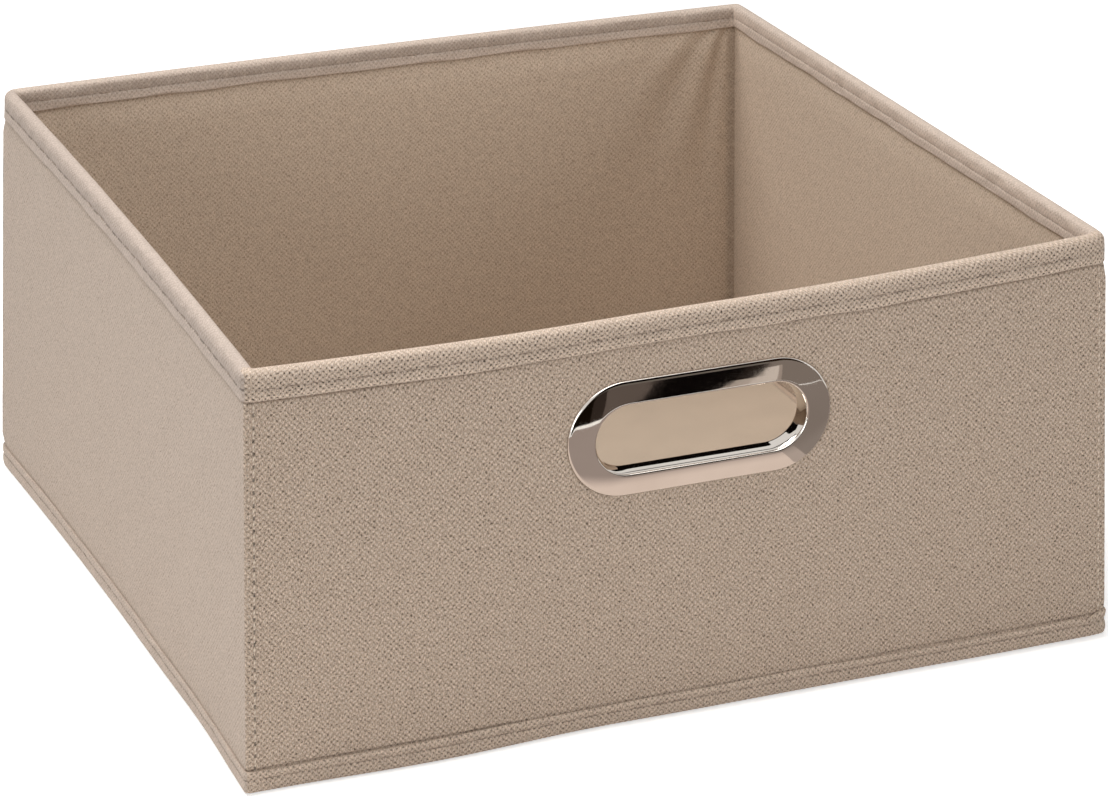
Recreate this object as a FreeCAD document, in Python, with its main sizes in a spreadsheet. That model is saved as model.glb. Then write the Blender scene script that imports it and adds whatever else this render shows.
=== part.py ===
import FreeCAD, Part
import math
import os
import re

import Sketcher
from FreeCAD import Placement, Rotation, Vector

# Shelf storage box: cardboard walls covered with embossed non-woven fabric, bound along the
# rim and the foot, with an oval metal grip in the front wall and a loose base panel.
# Frame: millimetres, +Z up, +X to the right along the front, front wall towards -Y,
# origin at the middle of the base on the surface that the box stands on.

driving = {
    "boxWidth": (310.0, "over the rim and foot tapes, left to right"),
    "boxDepth": (310.0, "over the rim and foot tapes, front to back"),
    "boxHeight": (150.0, "floor to the crown of the rim"),
    "coverThickness": (0.6, "outer embossed fabric"),
    "boardThickness": (2.2, "grey board in each wall"),
    "liningThickness": (0.6, "inner embossed fabric"),
    "tapeThickness": (0.8, "folded binding tape, rim and foot"),
    "baseSheetThickness": (0.6, "fabric floor sewn under the walls"),
    "crownThickness": (1.2, "tape over the top edge of the walls"),
    "crownRadius": (2.2, "roundness of the rim"),
    "rimBandOutside": (10.5, "height of the rim tape outside"),
    "rimBandInside": (9.0, "height of the rim tape inside"),
    "rimSeamRise": (3.2, "rim seam above the tape's outer edge"),
    "rimSeamRiseInside": (3.6, "rim seam above the tape's inner edge"),
    "footBandHeight": (8.0, "height of the foot tape on the walls"),
    "footTurnIn": (9.0, "width of the foot tape under the box"),
    "footSeamRise": (5.0, "foot seam above the floor"),
    "cornerTurn": (2.4, "tape's outer corner radius in tape thicknesses"),
    "seamThread": (0.5, "depth of the seam thread in the tape"),
    "seamGroove": (0.8, "height of the groove that the thread pulls in"),
    "cornerSeamInset": (2.7, "upright seam from the corner of the wall"),
    "cornerSeamProud": (0.3, "upright thread above the cover"),
    "seamAllowance": (0.7, "fabric hinge between the boards at a corner"),
    "gripOffset": (2.1, "grip's centre right of the middle of the front"),
    "gripCentreHeight": (106.6, "grip's centre above the floor"),
    "flangeWidth": (95.2, "outer flange of the grip, long way"),
    "flangeHeight": (41.0, "outer flange of the grip, short way"),
    "flangeRise": (2.4, "flange above the cover"),
    "flangeFall": (1.15, "how far the flange slopes down to its outer edge"),
    "flangeSlope": (6.0, "width of that slope"),
    "flangeRounding": (1.0, "outer edge of the flange"),
    "throatWidth": (74.8, "finger hole, long way"),
    "throatHeight": (23.4, "finger hole, short way"),
    "throatRounding": (2.0, "rolled edge of the finger hole"),
    "barrelWall": (1.2, "sleeve of the grip through the wall"),
    "barrelClearance": (0.4, "between the sleeve and the cut edges of the wall"),
    "washerClearance": (0.1, "between the sleeve and the backing ring"),
    "washerBand": (6.0, "width of the backing ring"),
    "washerThickness": (1.2, "backing ring"),
    "washerBevel": (0.4, "edge of the backing ring"),
    "lipThickness": (0.6, "rolled end of the sleeve behind the backing ring"),
    "lipWidth": (0.8, "how far the rolled end spreads"),
    "panelClearance": (2.3, "round the loose base panel"),
    "panelBoardThickness": (2.2, "grey board in the base panel"),
    "sleeveThickness": (0.5, "smooth fabric round the base panel"),
    "sleeveSeam": (1.5, "sewn margin of the sleeve beyond its board"),
    "sleeveRounding": (0.8, "edges of the base panel"),
}
size = {name: value for name, (value, note) in driving.items()}

doc = FreeCAD.newDocument("StorageBox")
sheet = doc.addObject("Spreadsheet::Sheet", "Dimensions")
for row, (name, (value, note)) in enumerate(driving.items(), start=1):
    sheet.set("A%d" % row, name)
    sheet.set("B%d" % row, str(value))
    sheet.set("C%d" % row, note)
    sheet.setAlias("B%d" % row, name)
doc.recompute()

# Places and spans that several pieces share, written with the names above.
wall = "(coverThickness + boardThickness + liningThickness)"
outerWidth = "(boxWidth - 2 * tapeThickness)"
outerDepth = "(boxDepth - 2 * tapeThickness)"
innerWidth = "(%s - 2 * %s)" % (outerWidth, wall)
innerDepth = "(%s - 2 * %s)" % (outerDepth, wall)
wallFoot = "(tapeThickness + baseSheetThickness)"
wallTop = "(boxHeight - crownThickness)"
rimEdge = "(boxHeight - rimBandOutside)"
tapeCorner = "(cornerTurn * tapeThickness)"
threadCorner = "(%s - seamThread)" % tapeCorner
barrelWidth = "(throatWidth + 2 * barrelWall)"
barrelHeight = "(throatHeight + 2 * barrelWall)"
barrelDepth = "(%s + washerThickness)" % wall
panelWidth = "(%s - 2 * panelClearance)" % innerWidth
panelDepth = "(%s - 2 * panelClearance)" % innerDepth
panelThickness = "(panelBoardThickness + 2 * sleeveThickness)"

planeTolerance = 0.001
subparts = []
aliases = re.compile(r"\b(%s)\b" % "|".join(driving))


def bind(target, prop, text):
    """Ties a property to the sheet; bare names in the text are the sheet's names."""
    target.setExpression(prop, aliases.sub(r"Dimensions.\1", text))


def newBody(name):
    """A body that becomes one sub-part."""
    body = doc.addObject("PartDesign::Body", name)
    body.Label = name
    body.AllowCompound = True
    subparts.append(body)
    return body


def newSketch(body, name, role, shiftX=None, shiftY=None, lift=None):
    """A sketch on one of the body's own planes, moved along and off that plane."""
    plane = [part for part in body.Origin.OriginFeatures if part.Role == role][0]
    sketch = body.newObject("Sketcher::SketchObject", body.Name + "_" + name)
    sketch.AttachmentSupport = [(plane, "")]
    sketch.MapMode = "FlatFace"
    for axis, text in (("x", shiftX), ("y", shiftY), ("z", lift)):
        if text:
            bind(sketch, "AttachmentOffset.Base." + axis, text)
    return sketch


def constrain(sketch, name, kind, *where, to=None):
    """One named constraint, bound to the sheet when it has a size."""
    index = sketch.addConstraint(Sketcher.Constraint(kind, *where))
    if to:
        sketch.renameConstraint(index, name)
        bind(sketch, "Constraints." + name, to)


def drawRoundedRectangle(sketch, name, width, depth, radius):
    """A rectangle with round corners, centred on the sketch's origin."""
    first = sketch.GeometryCount
    halfX, halfY, corner = 50.0, 40.0, 5.0
    inX, inY = halfX - corner, halfY - corner
    normal = Vector(0, 0, 1)

    def line(startX, startY, endX, endY):
        sketch.addGeometry(Part.LineSegment(Vector(startX, startY, 0), Vector(endX, endY, 0)))

    def arc(centreX, centreY, quarter):
        circle = Part.Circle(Vector(centreX, centreY, 0), normal, corner)
        start = quarter * math.pi / 2
        sketch.addGeometry(Part.ArcOfCircle(circle, start, start + math.pi / 2))

    line(-inX, -halfY, inX, -halfY)
    arc(inX, -inY, 3)
    line(halfX, -inY, halfX, inY)
    arc(inX, inY, 0)
    line(inX, halfY, -inX, halfY)
    arc(-inX, inY, 1)
    line(-halfX, inY, -halfX, -inY)
    arc(-inX, -inY, 2)
    for step in range(8):
        constrain(sketch, "", "Tangent", first + step, 2, first + (step + 1) % 8, 1)
    for step in (0, 4):
        constrain(sketch, "", "Horizontal", first + step)
        constrain(sketch, "", "Vertical", first + step + 2)
    for step in (1, 3, 5):
        constrain(sketch, "", "Equal", first + step, first + step + 2)
    constrain(sketch, "", "Symmetric", first + 7, 3, first + 3, 3, -1, 1)
    constrain(sketch, name + "Width", "DistanceX", first + 6, 1, first + 2, 1, 2 * halfX, to=width)
    constrain(sketch, name + "Depth", "DistanceY", first, 1, first + 4, 1, 2 * halfY, to=depth)
    constrain(sketch, name + "Corner", "Radius", first + 1, corner, to=radius)


def drawRectangle(sketch, name, width, depth):
    """A plain rectangle centred on the sketch's origin."""
    first = sketch.GeometryCount
    halfX, halfY = 50.0, 40.0
    places = ((-halfX, -halfY), (halfX, -halfY), (halfX, halfY), (-halfX, halfY))
    corners = [Vector(x, y, 0) for x, y in places]
    for step in range(4):
        sketch.addGeometry(Part.LineSegment(corners[step], corners[(step + 1) % 4]))
    for step in range(4):
        constrain(sketch, "", "Coincident", first + step, 2, first + (step + 1) % 4, 1)
    for step in (0, 2):
        constrain(sketch, "", "Horizontal", first + step)
        constrain(sketch, "", "Vertical", first + step + 1)
    constrain(sketch, "", "Symmetric", first, 1, first + 1, 2, -1, 1)
    constrain(sketch, name + "Width", "DistanceX", first, 1, first, 2, 2 * halfX, to=width)
    constrain(sketch, name + "Depth", "DistanceY", first + 1, 1, first + 1, 2, 2 * halfY, to=depth)


def drawStadium(sketch, name, width, height):
    """A slot with full round ends, centred on the sketch's origin, its long way along X."""
    first = sketch.GeometryCount
    reach, radius = 30.0, 10.0
    normal = Vector(0, 0, 1)
    right = Part.Circle(Vector(reach, 0, 0), normal, radius)
    left = Part.Circle(Vector(-reach, 0, 0), normal, radius)
    sketch.addGeometry(Part.LineSegment(Vector(-reach, -radius, 0), Vector(reach, -radius, 0)))
    sketch.addGeometry(Part.ArcOfCircle(right, -math.pi / 2, math.pi / 2))
    sketch.addGeometry(Part.LineSegment(Vector(reach, radius, 0), Vector(-reach, radius, 0)))
    sketch.addGeometry(Part.ArcOfCircle(left, math.pi / 2, 3 * math.pi / 2))
    for step in range(4):
        constrain(sketch, "", "Tangent", first + step, 2, first + (step + 1) % 4, 1)
    constrain(sketch, "", "Horizontal", first)
    constrain(sketch, "", "Equal", first + 1, first + 3)
    constrain(sketch, "", "Symmetric", first + 1, 3, first + 3, 3, -1, 1)
    constrain(sketch, name + "Round", "Radius", first + 1, radius, to="(%s) / 2" % height)
    reachText = "(%s) - (%s)" % (width, height)
    constrain(sketch, name + "Reach", "DistanceX", first + 3, 3, first + 1, 3, 2 * reach, to=reachText)


def pad(sketch, length, reverse=False):
    """Adds the sketched area, this far along its plane's normal or against it."""
    body = sketch.getParentGeoFeatureGroup()
    feature = body.newObject("PartDesign::Pad", sketch.Name + "_pad")
    feature.Profile = sketch
    feature.Reversed = reverse
    bind(feature, "Length", length)
    sketch.Visibility = False
    return feature


def pocket(sketch, length=None, reverse=False):
    """Cuts the sketched area, this deep against its plane's normal, or both ways right through."""
    body = sketch.getParentGeoFeatureGroup()
    doc.recompute()
    before = body.Shape.Volume
    feature = body.newObject("PartDesign::Pocket", sketch.Name + "_pocket")
    feature.Profile = sketch
    feature.Reversed = reverse
    if length:
        bind(feature, "Length", length)
    else:
        feature.Type = "ThroughAll"
        feature.Midplane = True
    sketch.Visibility = False
    doc.recompute()
    if body.Shape.Volume >= before:
        raise RuntimeError(feature.Name + " cuts nothing")
    return feature


def fillet(body, name, edges, radius):
    """Rounds the listed edges of the body's shape."""
    base = body.Tip
    feature = body.newObject("PartDesign::Fillet", body.Name + "_" + name)
    feature.Base = (base, edges)
    bind(feature, "Radius", radius)
    doc.recompute()
    return feature


def bevel(body, name, edges, fall, reach):
    """Cuts the listed edges off: fall down the outer side, reach across the face."""
    base = body.Tip
    feature = body.newObject("PartDesign::Chamfer", body.Name + "_" + name)
    feature.Base = (base, edges)
    feature.ChamferType = "Two distances"
    bind(feature, "Size", fall)
    bind(feature, "Size2", reach)
    doc.recompute()
    return feature


def edgesInPlane(shape, axis, value, keep=lambda box: True):
    """Names of the edges that lie in the plane where this axis has this value and pass keep."""
    names = []
    for index, edge in enumerate(shape.Edges, start=1):
        box = edge.BoundBox
        low, high = (box.YMin, box.YMax) if axis == "y" else (box.ZMin, box.ZMax)
        if max(abs(low - value), abs(high - value)) < planeTolerance and keep(box):
            names.append("Edge%d" % index)
    return names


# The four walls. Each sheet is drawn as the front one, its outer face on the plane y = 0,
# and is then turned about Z to its side and moved out to its layer.
sides = {
    "front": (0, "y", "-", "Depth", "Width"),
    "right": (90, "x", "", "Width", "Depth"),
    "back": (180, "y", "", "Depth", "Width"),
    "left": (270, "x", "-", "Width", "Depth"),
}


def seatOnSide(body, side, inset):
    """Turns a body to its side of the box and sets its outer face this far in from the tapes."""
    turn, axis, sign, across, along = sides[side]
    body.Placement = Placement(Vector(0, 0, 0), Rotation(Vector(0, 0, 1), turn))
    bind(body, "Placement.Base." + axis, "%s(box%s / 2 - (%s))" % (sign, across, inset))


def makeWallSheet(side, layer, length, thickness, inset):
    """One flat sheet of a wall, with the grip's cut-out where it is in the front wall."""
    body = newBody("%s_%s" % (side, layer))
    outline = newSketch(body, "outline", "XZ_Plane", shiftY="(%s + %s) / 2" % (wallFoot, wallTop))
    drawRectangle(outline, "sheet", length, "%s - %s" % (wallTop, wallFoot))
    pad(outline, thickness, reverse=True)
    if side == "front":
        cutout = newSketch(body, "cutout", "XZ_Plane", shiftX="gripOffset", shiftY="gripCentreHeight")
        hole = "%s + 2 * barrelClearance"
        drawStadium(cutout, "hole", hole % barrelWidth, hole % barrelHeight)
        pocket(cutout)
    seatOnSide(body, side, inset)
    return body


def makeWall(side):
    """Cover, board and lining of one wall. Front and back lap over the ends of the side walls."""
    span = "box%s - 2 * tapeThickness" % sides[side][4]
    laps = side in ("front", "back")
    coverLength = span if laps else span + " - 2 * coverThickness"
    boardLength = span + " - 2 * (coverThickness + boardThickness + seamAllowance)"
    liningEnd = "(coverThickness + boardThickness)" if laps else wall
    liningLength = span + " - 2 * " + liningEnd
    makeWallSheet(side, "cover", coverLength, "coverThickness", "tapeThickness")
    makeWallSheet(side, "board", boardLength, "boardThickness", "tapeThickness + coverThickness")
    liningInset = "tapeThickness + coverThickness + boardThickness"
    makeWallSheet(side, "lining", liningLength, "liningThickness", liningInset)


for side in sides:
    makeWall(side)


def drawRing(sketch, outside, inside):
    """The area between two rectangles round the box, each a width, a depth and maybe a corner radius."""
    for name, outline in (("outer", outside), ("inner", inside)):
        if len(outline) == 3:
            drawRoundedRectangle(sketch, name, *outline)
        else:
            drawRectangle(sketch, name, *outline)


def grown(span, change):
    """A width and depth made larger by this much in all, or smaller where it starts with a minus."""
    return tuple("%s + (%s)" % (text, change) for text in span)


boxSpan = ("boxWidth", "boxDepth")
outerSpan = (outerWidth, outerDepth)
innerSpan = (innerWidth, innerDepth)
rimInnerSpan = grown(innerSpan, "-2 * tapeThickness")
threadSpan = grown(boxSpan, "-2 * seamThread")
clearOutside = grown(boxSpan, "2 * tapeThickness")
clearInside = grown(rimInnerSpan, "-2 * tapeThickness")
rimGroove = "%s + rimSeamRise - seamGroove / 2" % rimEdge
rimGrooveInside = "boxHeight - rimBandInside + rimSeamRiseInside - seamGroove / 2"
footGroove = "footSeamRise - seamGroove / 2"


def makeRimBinding():
    """The folded tape over the rim: two legs joined by a round crown, with a groove at each seam."""
    body = newBody("rim_binding")
    band = newSketch(body, "band", "XY_Plane", lift=rimEdge)
    drawRing(band, boxSpan + (tapeCorner,), rimInnerSpan)
    pad(band, "rimBandOutside")
    slot = newSketch(body, "slot", "XY_Plane", lift=rimEdge)
    drawRing(slot, outerSpan, innerSpan)
    pocket(slot, "rimBandOutside - crownThickness", reverse=True)
    shortLeg = newSketch(body, "short_leg", "XY_Plane", lift=rimEdge)
    drawRing(shortLeg, outerSpan, rimInnerSpan)
    pocket(shortLeg, "rimBandOutside - rimBandInside", reverse=True)
    crown = "min(crownRadius; 0.48 * (%s + 2 * tapeThickness))" % wall
    fillet(body, "crown", edgesInPlane(body.Shape, "z", size["boxHeight"]), crown)
    outerGroove = newSketch(body, "outer_groove", "XY_Plane", lift=rimGroove)
    drawRing(outerGroove, clearOutside, threadSpan + (threadCorner,))
    pocket(outerGroove, "seamGroove", reverse=True)
    innerGroove = newSketch(body, "inner_groove", "XY_Plane", lift=rimGrooveInside)
    drawRing(innerGroove, grown(rimInnerSpan, "2 * seamThread"), clearInside)
    pocket(innerGroove, "seamGroove", reverse=True)


def makeRimStitching():
    """The seam threads of the rim, one in the outer groove and one in the inner."""
    body = newBody("rim_stitching")
    outside = newSketch(body, "outside", "XY_Plane", lift=rimGroove)
    drawRing(outside, boxSpan + (tapeCorner,), threadSpan + (threadCorner,))
    pad(outside, "seamGroove")
    inside = newSketch(body, "inside", "XY_Plane", lift=rimGrooveInside)
    drawRing(inside, grown(rimInnerSpan, "2 * seamThread"), rimInnerSpan)
    pad(inside, "seamGroove")


def makeFootBinding():
    """The folded tape round the foot: a leg up the walls and a leg turned in under the box."""
    body = newBody("foot_binding")
    block = newSketch(body, "block", "XY_Plane")
    drawRing(block, boxSpan + (tapeCorner,), grown(boxSpan, "-2 * footTurnIn"))
    pad(block, "footBandHeight")
    seat = newSketch(body, "seat", "XY_Plane", lift="tapeThickness")
    drawRectangle(seat, "seat", *outerSpan)
    pocket(seat, "footBandHeight - tapeThickness", reverse=True)
    groove = newSketch(body, "groove", "XY_Plane", lift=footGroove)
    drawRing(groove, clearOutside, threadSpan + (threadCorner,))
    pocket(groove, "seamGroove", reverse=True)


def makeFootStitching():
    """The seam thread in the foot tape's groove."""
    body = newBody("foot_stitching")
    outside = newSketch(body, "outside", "XY_Plane", lift=footGroove)
    drawRing(outside, boxSpan + (tapeCorner,), threadSpan + (threadCorner,))
    pad(outside, "seamGroove")


def makeCornerStitching():
    """The upright topstitch beside each corner, on the front and back covers."""
    body = newBody("corner_stitching")
    middle = "(footBandHeight + %s) / 2" % rimEdge
    height = "%s - footBandHeight" % rimEdge
    for face, outward in (("front", 1), ("back", -1)):
        for hand, toRight in (("left", -1), ("right", 1)):
            across = "%d * (%s / 2 - cornerSeamInset)" % (toRight, outerWidth)
            out = "%d * %s / 2" % (outward, outerDepth)
            line = newSketch(body, face + "_" + hand, "XZ_Plane", shiftX=across, shiftY=middle, lift=out)
            drawRectangle(line, "thread", "seamThread", height)
            pad(line, "cornerSeamProud", reverse=face == "back")


def makeBaseSheet():
    """The fabric floor that the walls stand on, caught in the foot tape."""
    body = newBody("base_sheet")
    outline = newSketch(body, "outline", "XY_Plane")
    drawRectangle(outline, "sheet", outerWidth, outerDepth)
    pad(outline, "baseSheetThickness")
    bind(body, "Placement.Base.z", "tapeThickness")


def seatAtGrip(body, inset):
    """Sets a body drawn round the grip's centre this far in from the cover's face."""
    bind(body, "Placement.Base.x", "gripOffset")
    bind(body, "Placement.Base.y", "-(boxDepth / 2 - tapeThickness) + (%s)" % inset)
    bind(body, "Placement.Base.z", "gripCentreHeight")


def makeHandleRing():
    """The pressed metal grip: a sloping flange, a sleeve through the wall and its rolled end."""
    body = newBody("handle_ring")
    flange = newSketch(body, "flange", "XZ_Plane")
    drawStadium(flange, "flange", "flangeWidth", "flangeHeight")
    pad(flange, "flangeRise")
    barrel = newSketch(body, "barrel", "XZ_Plane")
    drawStadium(barrel, "barrel", barrelWidth, barrelHeight)
    pad(barrel, barrelDepth, reverse=True)
    lip = newSketch(body, "lip", "XZ_Plane", lift="-" + barrelDepth)
    spread = "%s + 2 * lipWidth"
    drawStadium(lip, "lip", spread % barrelWidth, spread % barrelHeight)
    pad(lip, "lipThickness", reverse=True)
    throat = newSketch(body, "throat", "XZ_Plane")
    drawStadium(throat, "throat", "throatWidth", "throatHeight")
    pocket(throat)
    face = -size["flangeRise"]
    limit = size["throatHeight"] / 2 + 0.5

    def onFlangeEdge(box):
        return max(abs(box.ZMin), abs(box.ZMax)) > limit

    def onThroatEdge(box):
        return not onFlangeEdge(box)

    slope = bevel(
        body, "flange_slope", edgesInPlane(body.Shape, "y", face, onFlangeEdge), "flangeFall", "flangeSlope"
    )
    side = -(size["flangeRise"] - size["flangeFall"])
    if not edgesInPlane(body.Shape, "y", side, onFlangeEdge):
        slope.FlipDirection = True
        doc.recompute()
    outer = "min(flangeRounding; 0.9 * (flangeRise - flangeFall))"
    fillet(body, "flange_edge", edgesInPlane(body.Shape, "y", side, onFlangeEdge), outer)
    fillet(body, "throat_edge", edgesInPlane(body.Shape, "y", face, onThroatEdge), "throatRounding")
    seatAtGrip(body, "0")


def makeHandleBackingRing():
    """The flat ring inside the wall that the grip's sleeve is rolled over."""
    body = newBody("handle_backing_ring")
    plate = newSketch(body, "plate", "XZ_Plane")
    hole = "%s + 2 * washerClearance"
    rim = "%s + 2 * washerClearance + 2 * washerBand"
    drawStadium(plate, "rim", rim % barrelWidth, rim % barrelHeight)
    pad(plate, "washerThickness", reverse=True)
    bore = newSketch(body, "bore", "XZ_Plane")
    drawStadium(bore, "hole", hole % barrelWidth, hole % barrelHeight)
    pocket(bore)
    limit = size["throatHeight"] / 2 + size["barrelWall"] + size["washerClearance"] + 0.5
    outer = edgesInPlane(
        body.Shape, "y", size["washerThickness"], lambda box: max(abs(box.ZMin), abs(box.ZMax)) > limit
    )
    bevel(body, "edge", outer, "washerBevel", "washerBevel")
    seatAtGrip(body, wall)


def makeBasePanel():
    """The loose floor panel: a board sewn into a smooth fabric sleeve."""
    board = doc.addObject("Part::Box", "base_panel_board")
    board.Label = "base_panel_board"
    inset = "(panelClearance + sleeveSeam)"
    bind(board, "Length", "%s - 2 * %s" % (innerWidth, inset))
    bind(board, "Width", "%s - 2 * %s" % (innerDepth, inset))
    bind(board, "Height", "panelBoardThickness")
    bind(board, "Placement.Base.x", "-(%s) / 2 + %s" % (innerWidth, inset))
    bind(board, "Placement.Base.y", "-(%s) / 2 + %s" % (innerDepth, inset))
    bind(board, "Placement.Base.z", "%s + sleeveThickness" % wallFoot)
    subparts.append(board)

    outline = doc.addObject("Part::Box", "SleeveOutline")
    bind(outline, "Length", panelWidth)
    bind(outline, "Width", panelDepth)
    bind(outline, "Height", panelThickness)
    bind(outline, "Placement.Base.x", "-(%s) / 2" % panelWidth)
    bind(outline, "Placement.Base.y", "-(%s) / 2" % panelDepth)
    bind(outline, "Placement.Base.z", wallFoot)
    doc.recompute()
    softened = doc.addObject("Part::Fillet", "SleeveSoftEdges")
    softened.Base = outline
    radius = min(size["sleeveRounding"], size["sleeveThickness"] + size["panelBoardThickness"] / 2)
    softened.Edges = [(index, radius, radius) for index in range(1, 13)]
    sleeve = doc.addObject("Part::Cut", "base_panel_sleeve")
    sleeve.Label = "base_panel_sleeve"
    sleeve.Base = softened
    sleeve.Tool = board
    subparts.append(sleeve)


makeRimBinding()
makeRimStitching()
makeFootBinding()
makeFootStitching()
makeCornerStitching()
makeBaseSheet()
makeHandleRing()
makeHandleBackingRing()
makeBasePanel()
doc.recompute()

faults = [item.Name for item in doc.Objects if {"Invalid", "Error"} & set(item.State)]
for part in subparts:
    if part.Shape.isNull() or not part.Shape.isValid() or not part.Shape.Solids:
        faults.append(part.Label + " has no valid solid")
if faults:
    raise RuntimeError("these failed: " + ", ".join(faults))

os.makedirs("parts", exist_ok=True)
for part in subparts:
    part.Shape.exportStep(os.path.join("parts", part.Label + ".step"))
    print(part.Label, len(part.Shape.Solids), "solid", round(part.Shape.Volume), "mm3")
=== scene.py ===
import math
from functools import partial

import bpy
import numpy as np
from mathutils import Matrix


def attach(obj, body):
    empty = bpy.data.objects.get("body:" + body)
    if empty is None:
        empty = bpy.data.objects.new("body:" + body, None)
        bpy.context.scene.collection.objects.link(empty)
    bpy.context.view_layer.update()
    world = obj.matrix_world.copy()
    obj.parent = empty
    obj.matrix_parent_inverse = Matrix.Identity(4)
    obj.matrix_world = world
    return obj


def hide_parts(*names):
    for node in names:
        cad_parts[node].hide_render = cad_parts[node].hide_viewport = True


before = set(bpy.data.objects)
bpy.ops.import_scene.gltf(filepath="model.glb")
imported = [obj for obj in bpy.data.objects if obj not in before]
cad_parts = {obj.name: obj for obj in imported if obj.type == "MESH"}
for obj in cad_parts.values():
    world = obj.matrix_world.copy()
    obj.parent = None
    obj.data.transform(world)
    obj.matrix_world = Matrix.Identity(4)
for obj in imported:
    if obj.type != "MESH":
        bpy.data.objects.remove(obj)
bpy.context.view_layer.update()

# Shelf storage box: grey board walls covered with embossed polypropylene felt, bound with
# folded tape along the rim and round the foot. Lengths are millimetres until a mesh is made.
turns = {"front": 0, "right": 1, "back": 2, "left": 3}  # quarter turns about Z
gripPlace = {
    "x": 2.1, "z": 106.6,
    "reach": 25.7,  # half the straight of the finger hole
    "field": 66.0, "rings": 34,  # half the width of the part of a sheet that is ringed round the hole
}

# How the made-up box stands: its board corners and edges as they lean and bow, in
# millimetres added to the flat shape (x, y, z).
stance = {
    "half": 155.0, "height": 150.0,
    "corners": [  # side x, side y, shift at the foot, shift at the rim, softening of foot and rim
        (-1, -1, (-4.2, 3.3, 0.2), (-0.7, 0.6, -0.3), 0.0, 0.3),
        (1, -1, (6.2, 3.2, 0.9), (-1.0, 1.8, 2.7), 0.7, 1.0),
        (-1, 1, (-4.4, 0.9, 0.0), (4.2, -0.2, 1.1), 1.5, 1.6),
        (1, 1, (0.5, -0.2, 0.0), (-0.8, -0.9, -0.7), 0.3, 0.4),
    ],
    "soften": 9.0, "softRim": (134, 7), "softFoot": (12, 5),  # reach; start and length upwards or downwards
    "rimBow": {"front": 2.7, "left": -2.2, "back": 1.4, "right": 0.6},  # outwards
    "footBow": {"front": -0.4, "left": -2.5, "back": 0.0, "right": 0.0},
    "rimDip": {"front": 2.1, "left": 0.7, "back": -0.1, "right": 0.3},  # downwards
    "footWaves": [  # axis along the wall, place on it, outwards, reach
        (0, -92.0, 2.2, 36.0), (0, -35.0, -0.6, 22.0), (0, 112.0, 0.4, 28.0), (1, -100.0, -0.8, 34.0),
    ],
    "footWaveHeight": 14,
    "grip": (75.0, 45.0),  # reach of the stiff part round the grip, along x and z
}


def settle(points):
    # corner shifts blended linearly in x, y and z; a corner is drawn in by a squared falloff at its
    # rim and its foot; a parabola along each wall that is zero at the corners and fades from its own
    # wall to the opposite one; bell curves along the foot of the front and left walls; near the grip
    # the sum fades to none, because the metal holds the wall flat there
    points = np.asarray(points, float)
    s = stance
    x, y, z = points[..., 0], points[..., 1], points[..., 2]
    across = x / s["half"], y / s["half"]
    t = np.clip(z / s["height"], 0, 1)
    shift = np.zeros_like(points)
    for sideX, sideY, foot, rim, softFoot, softRim in s["corners"]:
        weight = (1 + sideX * across[0]) / 2 * (1 + sideY * across[1]) / 2
        shift += weight[..., None] * ((1 - t)[..., None] * np.array(foot) + t[..., None] * np.array(rim))
        away = np.hypot(s["half"] - sideX * x, s["half"] - sideY * y)
        soft = (softRim * np.clip((z - s["softRim"][0]) / s["softRim"][1], 0, 1)
                + softFoot * np.clip((s["softFoot"][0] - z) / s["softFoot"][1], 0, 1))
        draw = soft * np.clip(1 - away / s["soften"], 0, 1) ** 2
        shift -= draw[..., None] * np.array([sideX, sideY, 0.0])
    for wall, axis, side in (("front", 1, -1), ("back", 1, 1), ("left", 0, -1), ("right", 0, 1)):
        weight = np.clip(1 - across[1 - axis] ** 2, 0, 1) * (1 + side * across[axis]) / 2
        bow = t * s["rimBow"][wall] + (1 - t) * s["footBow"][wall]
        shift[..., axis] += side * weight * bow
        shift[..., 2] -= weight * t * s["rimDip"][wall]
    for axis, at, outwards, reach in s["footWaves"]:
        near = np.exp(-z / s["footWaveHeight"]) * np.clip((-across[1 - axis] - 0.9) / 0.08, 0, 1)
        shift[..., 1 - axis] -= outwards * np.exp(-((points[..., axis] - at) / reach) ** 2) * near
    far = np.hypot((x - gripPlace["x"]) / s["grip"][0], (z - gripPlace["z"]) / s["grip"][1])
    near = np.clip(1.35 - far, 0, 1)
    hold = near ** 2 * (3 - 2 * near) * np.clip((-y - 100) / 45, 0, 1)
    return points + shift * (1 - hold)[..., None]


def onWall(along, out, up, turn):
    # wall coordinates (along to the right as seen from outside, out, up) turned about Z in
    # quarter turns: front is (along, -out), right (out, along), back (-along, out), left (-out, -along)
    x, y = [(along, -out), (out, along), (-along, out), (-out, -along)][turn]
    return np.stack([x, y, up], -1)


def waves(u, v, seed, length):
    # sum of plane waves of about that length in seeded directions, scaled to about -1..1
    count = 7
    rng = np.random.default_rng(seed)
    angle = rng.uniform(0, 2 * np.pi, count)
    number = 2 * np.pi / (length * rng.uniform(0.6, 1.7, count))
    phase = rng.uniform(0, 2 * np.pi, count)
    total = sum(np.sin(n * (u * np.cos(a) + v * np.sin(a)) + p) for n, a, p in zip(number, angle, phase))
    return total / math.sqrt(count) / 1.2


def smooth(low, high, value):
    # 0 below low, 1 above high, 3 t^2 - 2 t^3 between
    t = np.clip((value - low) / (high - low), 0, 1)
    return t * t * (3 - 2 * t)


def evenly(low, high, step):
    return np.linspace(low, high, int(round((high - low) / step)) + 1)


def runLength(section):
    return np.concatenate([[0], np.cumsum(np.linalg.norm(np.diff(section, axis=0), axis=1))])


def arc(centre, radius, start, stop, count):
    # points of a circle's arc, angles in degrees from out towards up
    angle = np.radians(np.linspace(start, stop, count))
    return np.stack([centre[0] + radius * np.cos(angle), centre[1] + radius * np.sin(angle)], -1)


def line(start, stop, count):
    # points between the two ends, without them
    return np.linspace(start, stop, count + 2)[1:-1]


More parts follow.
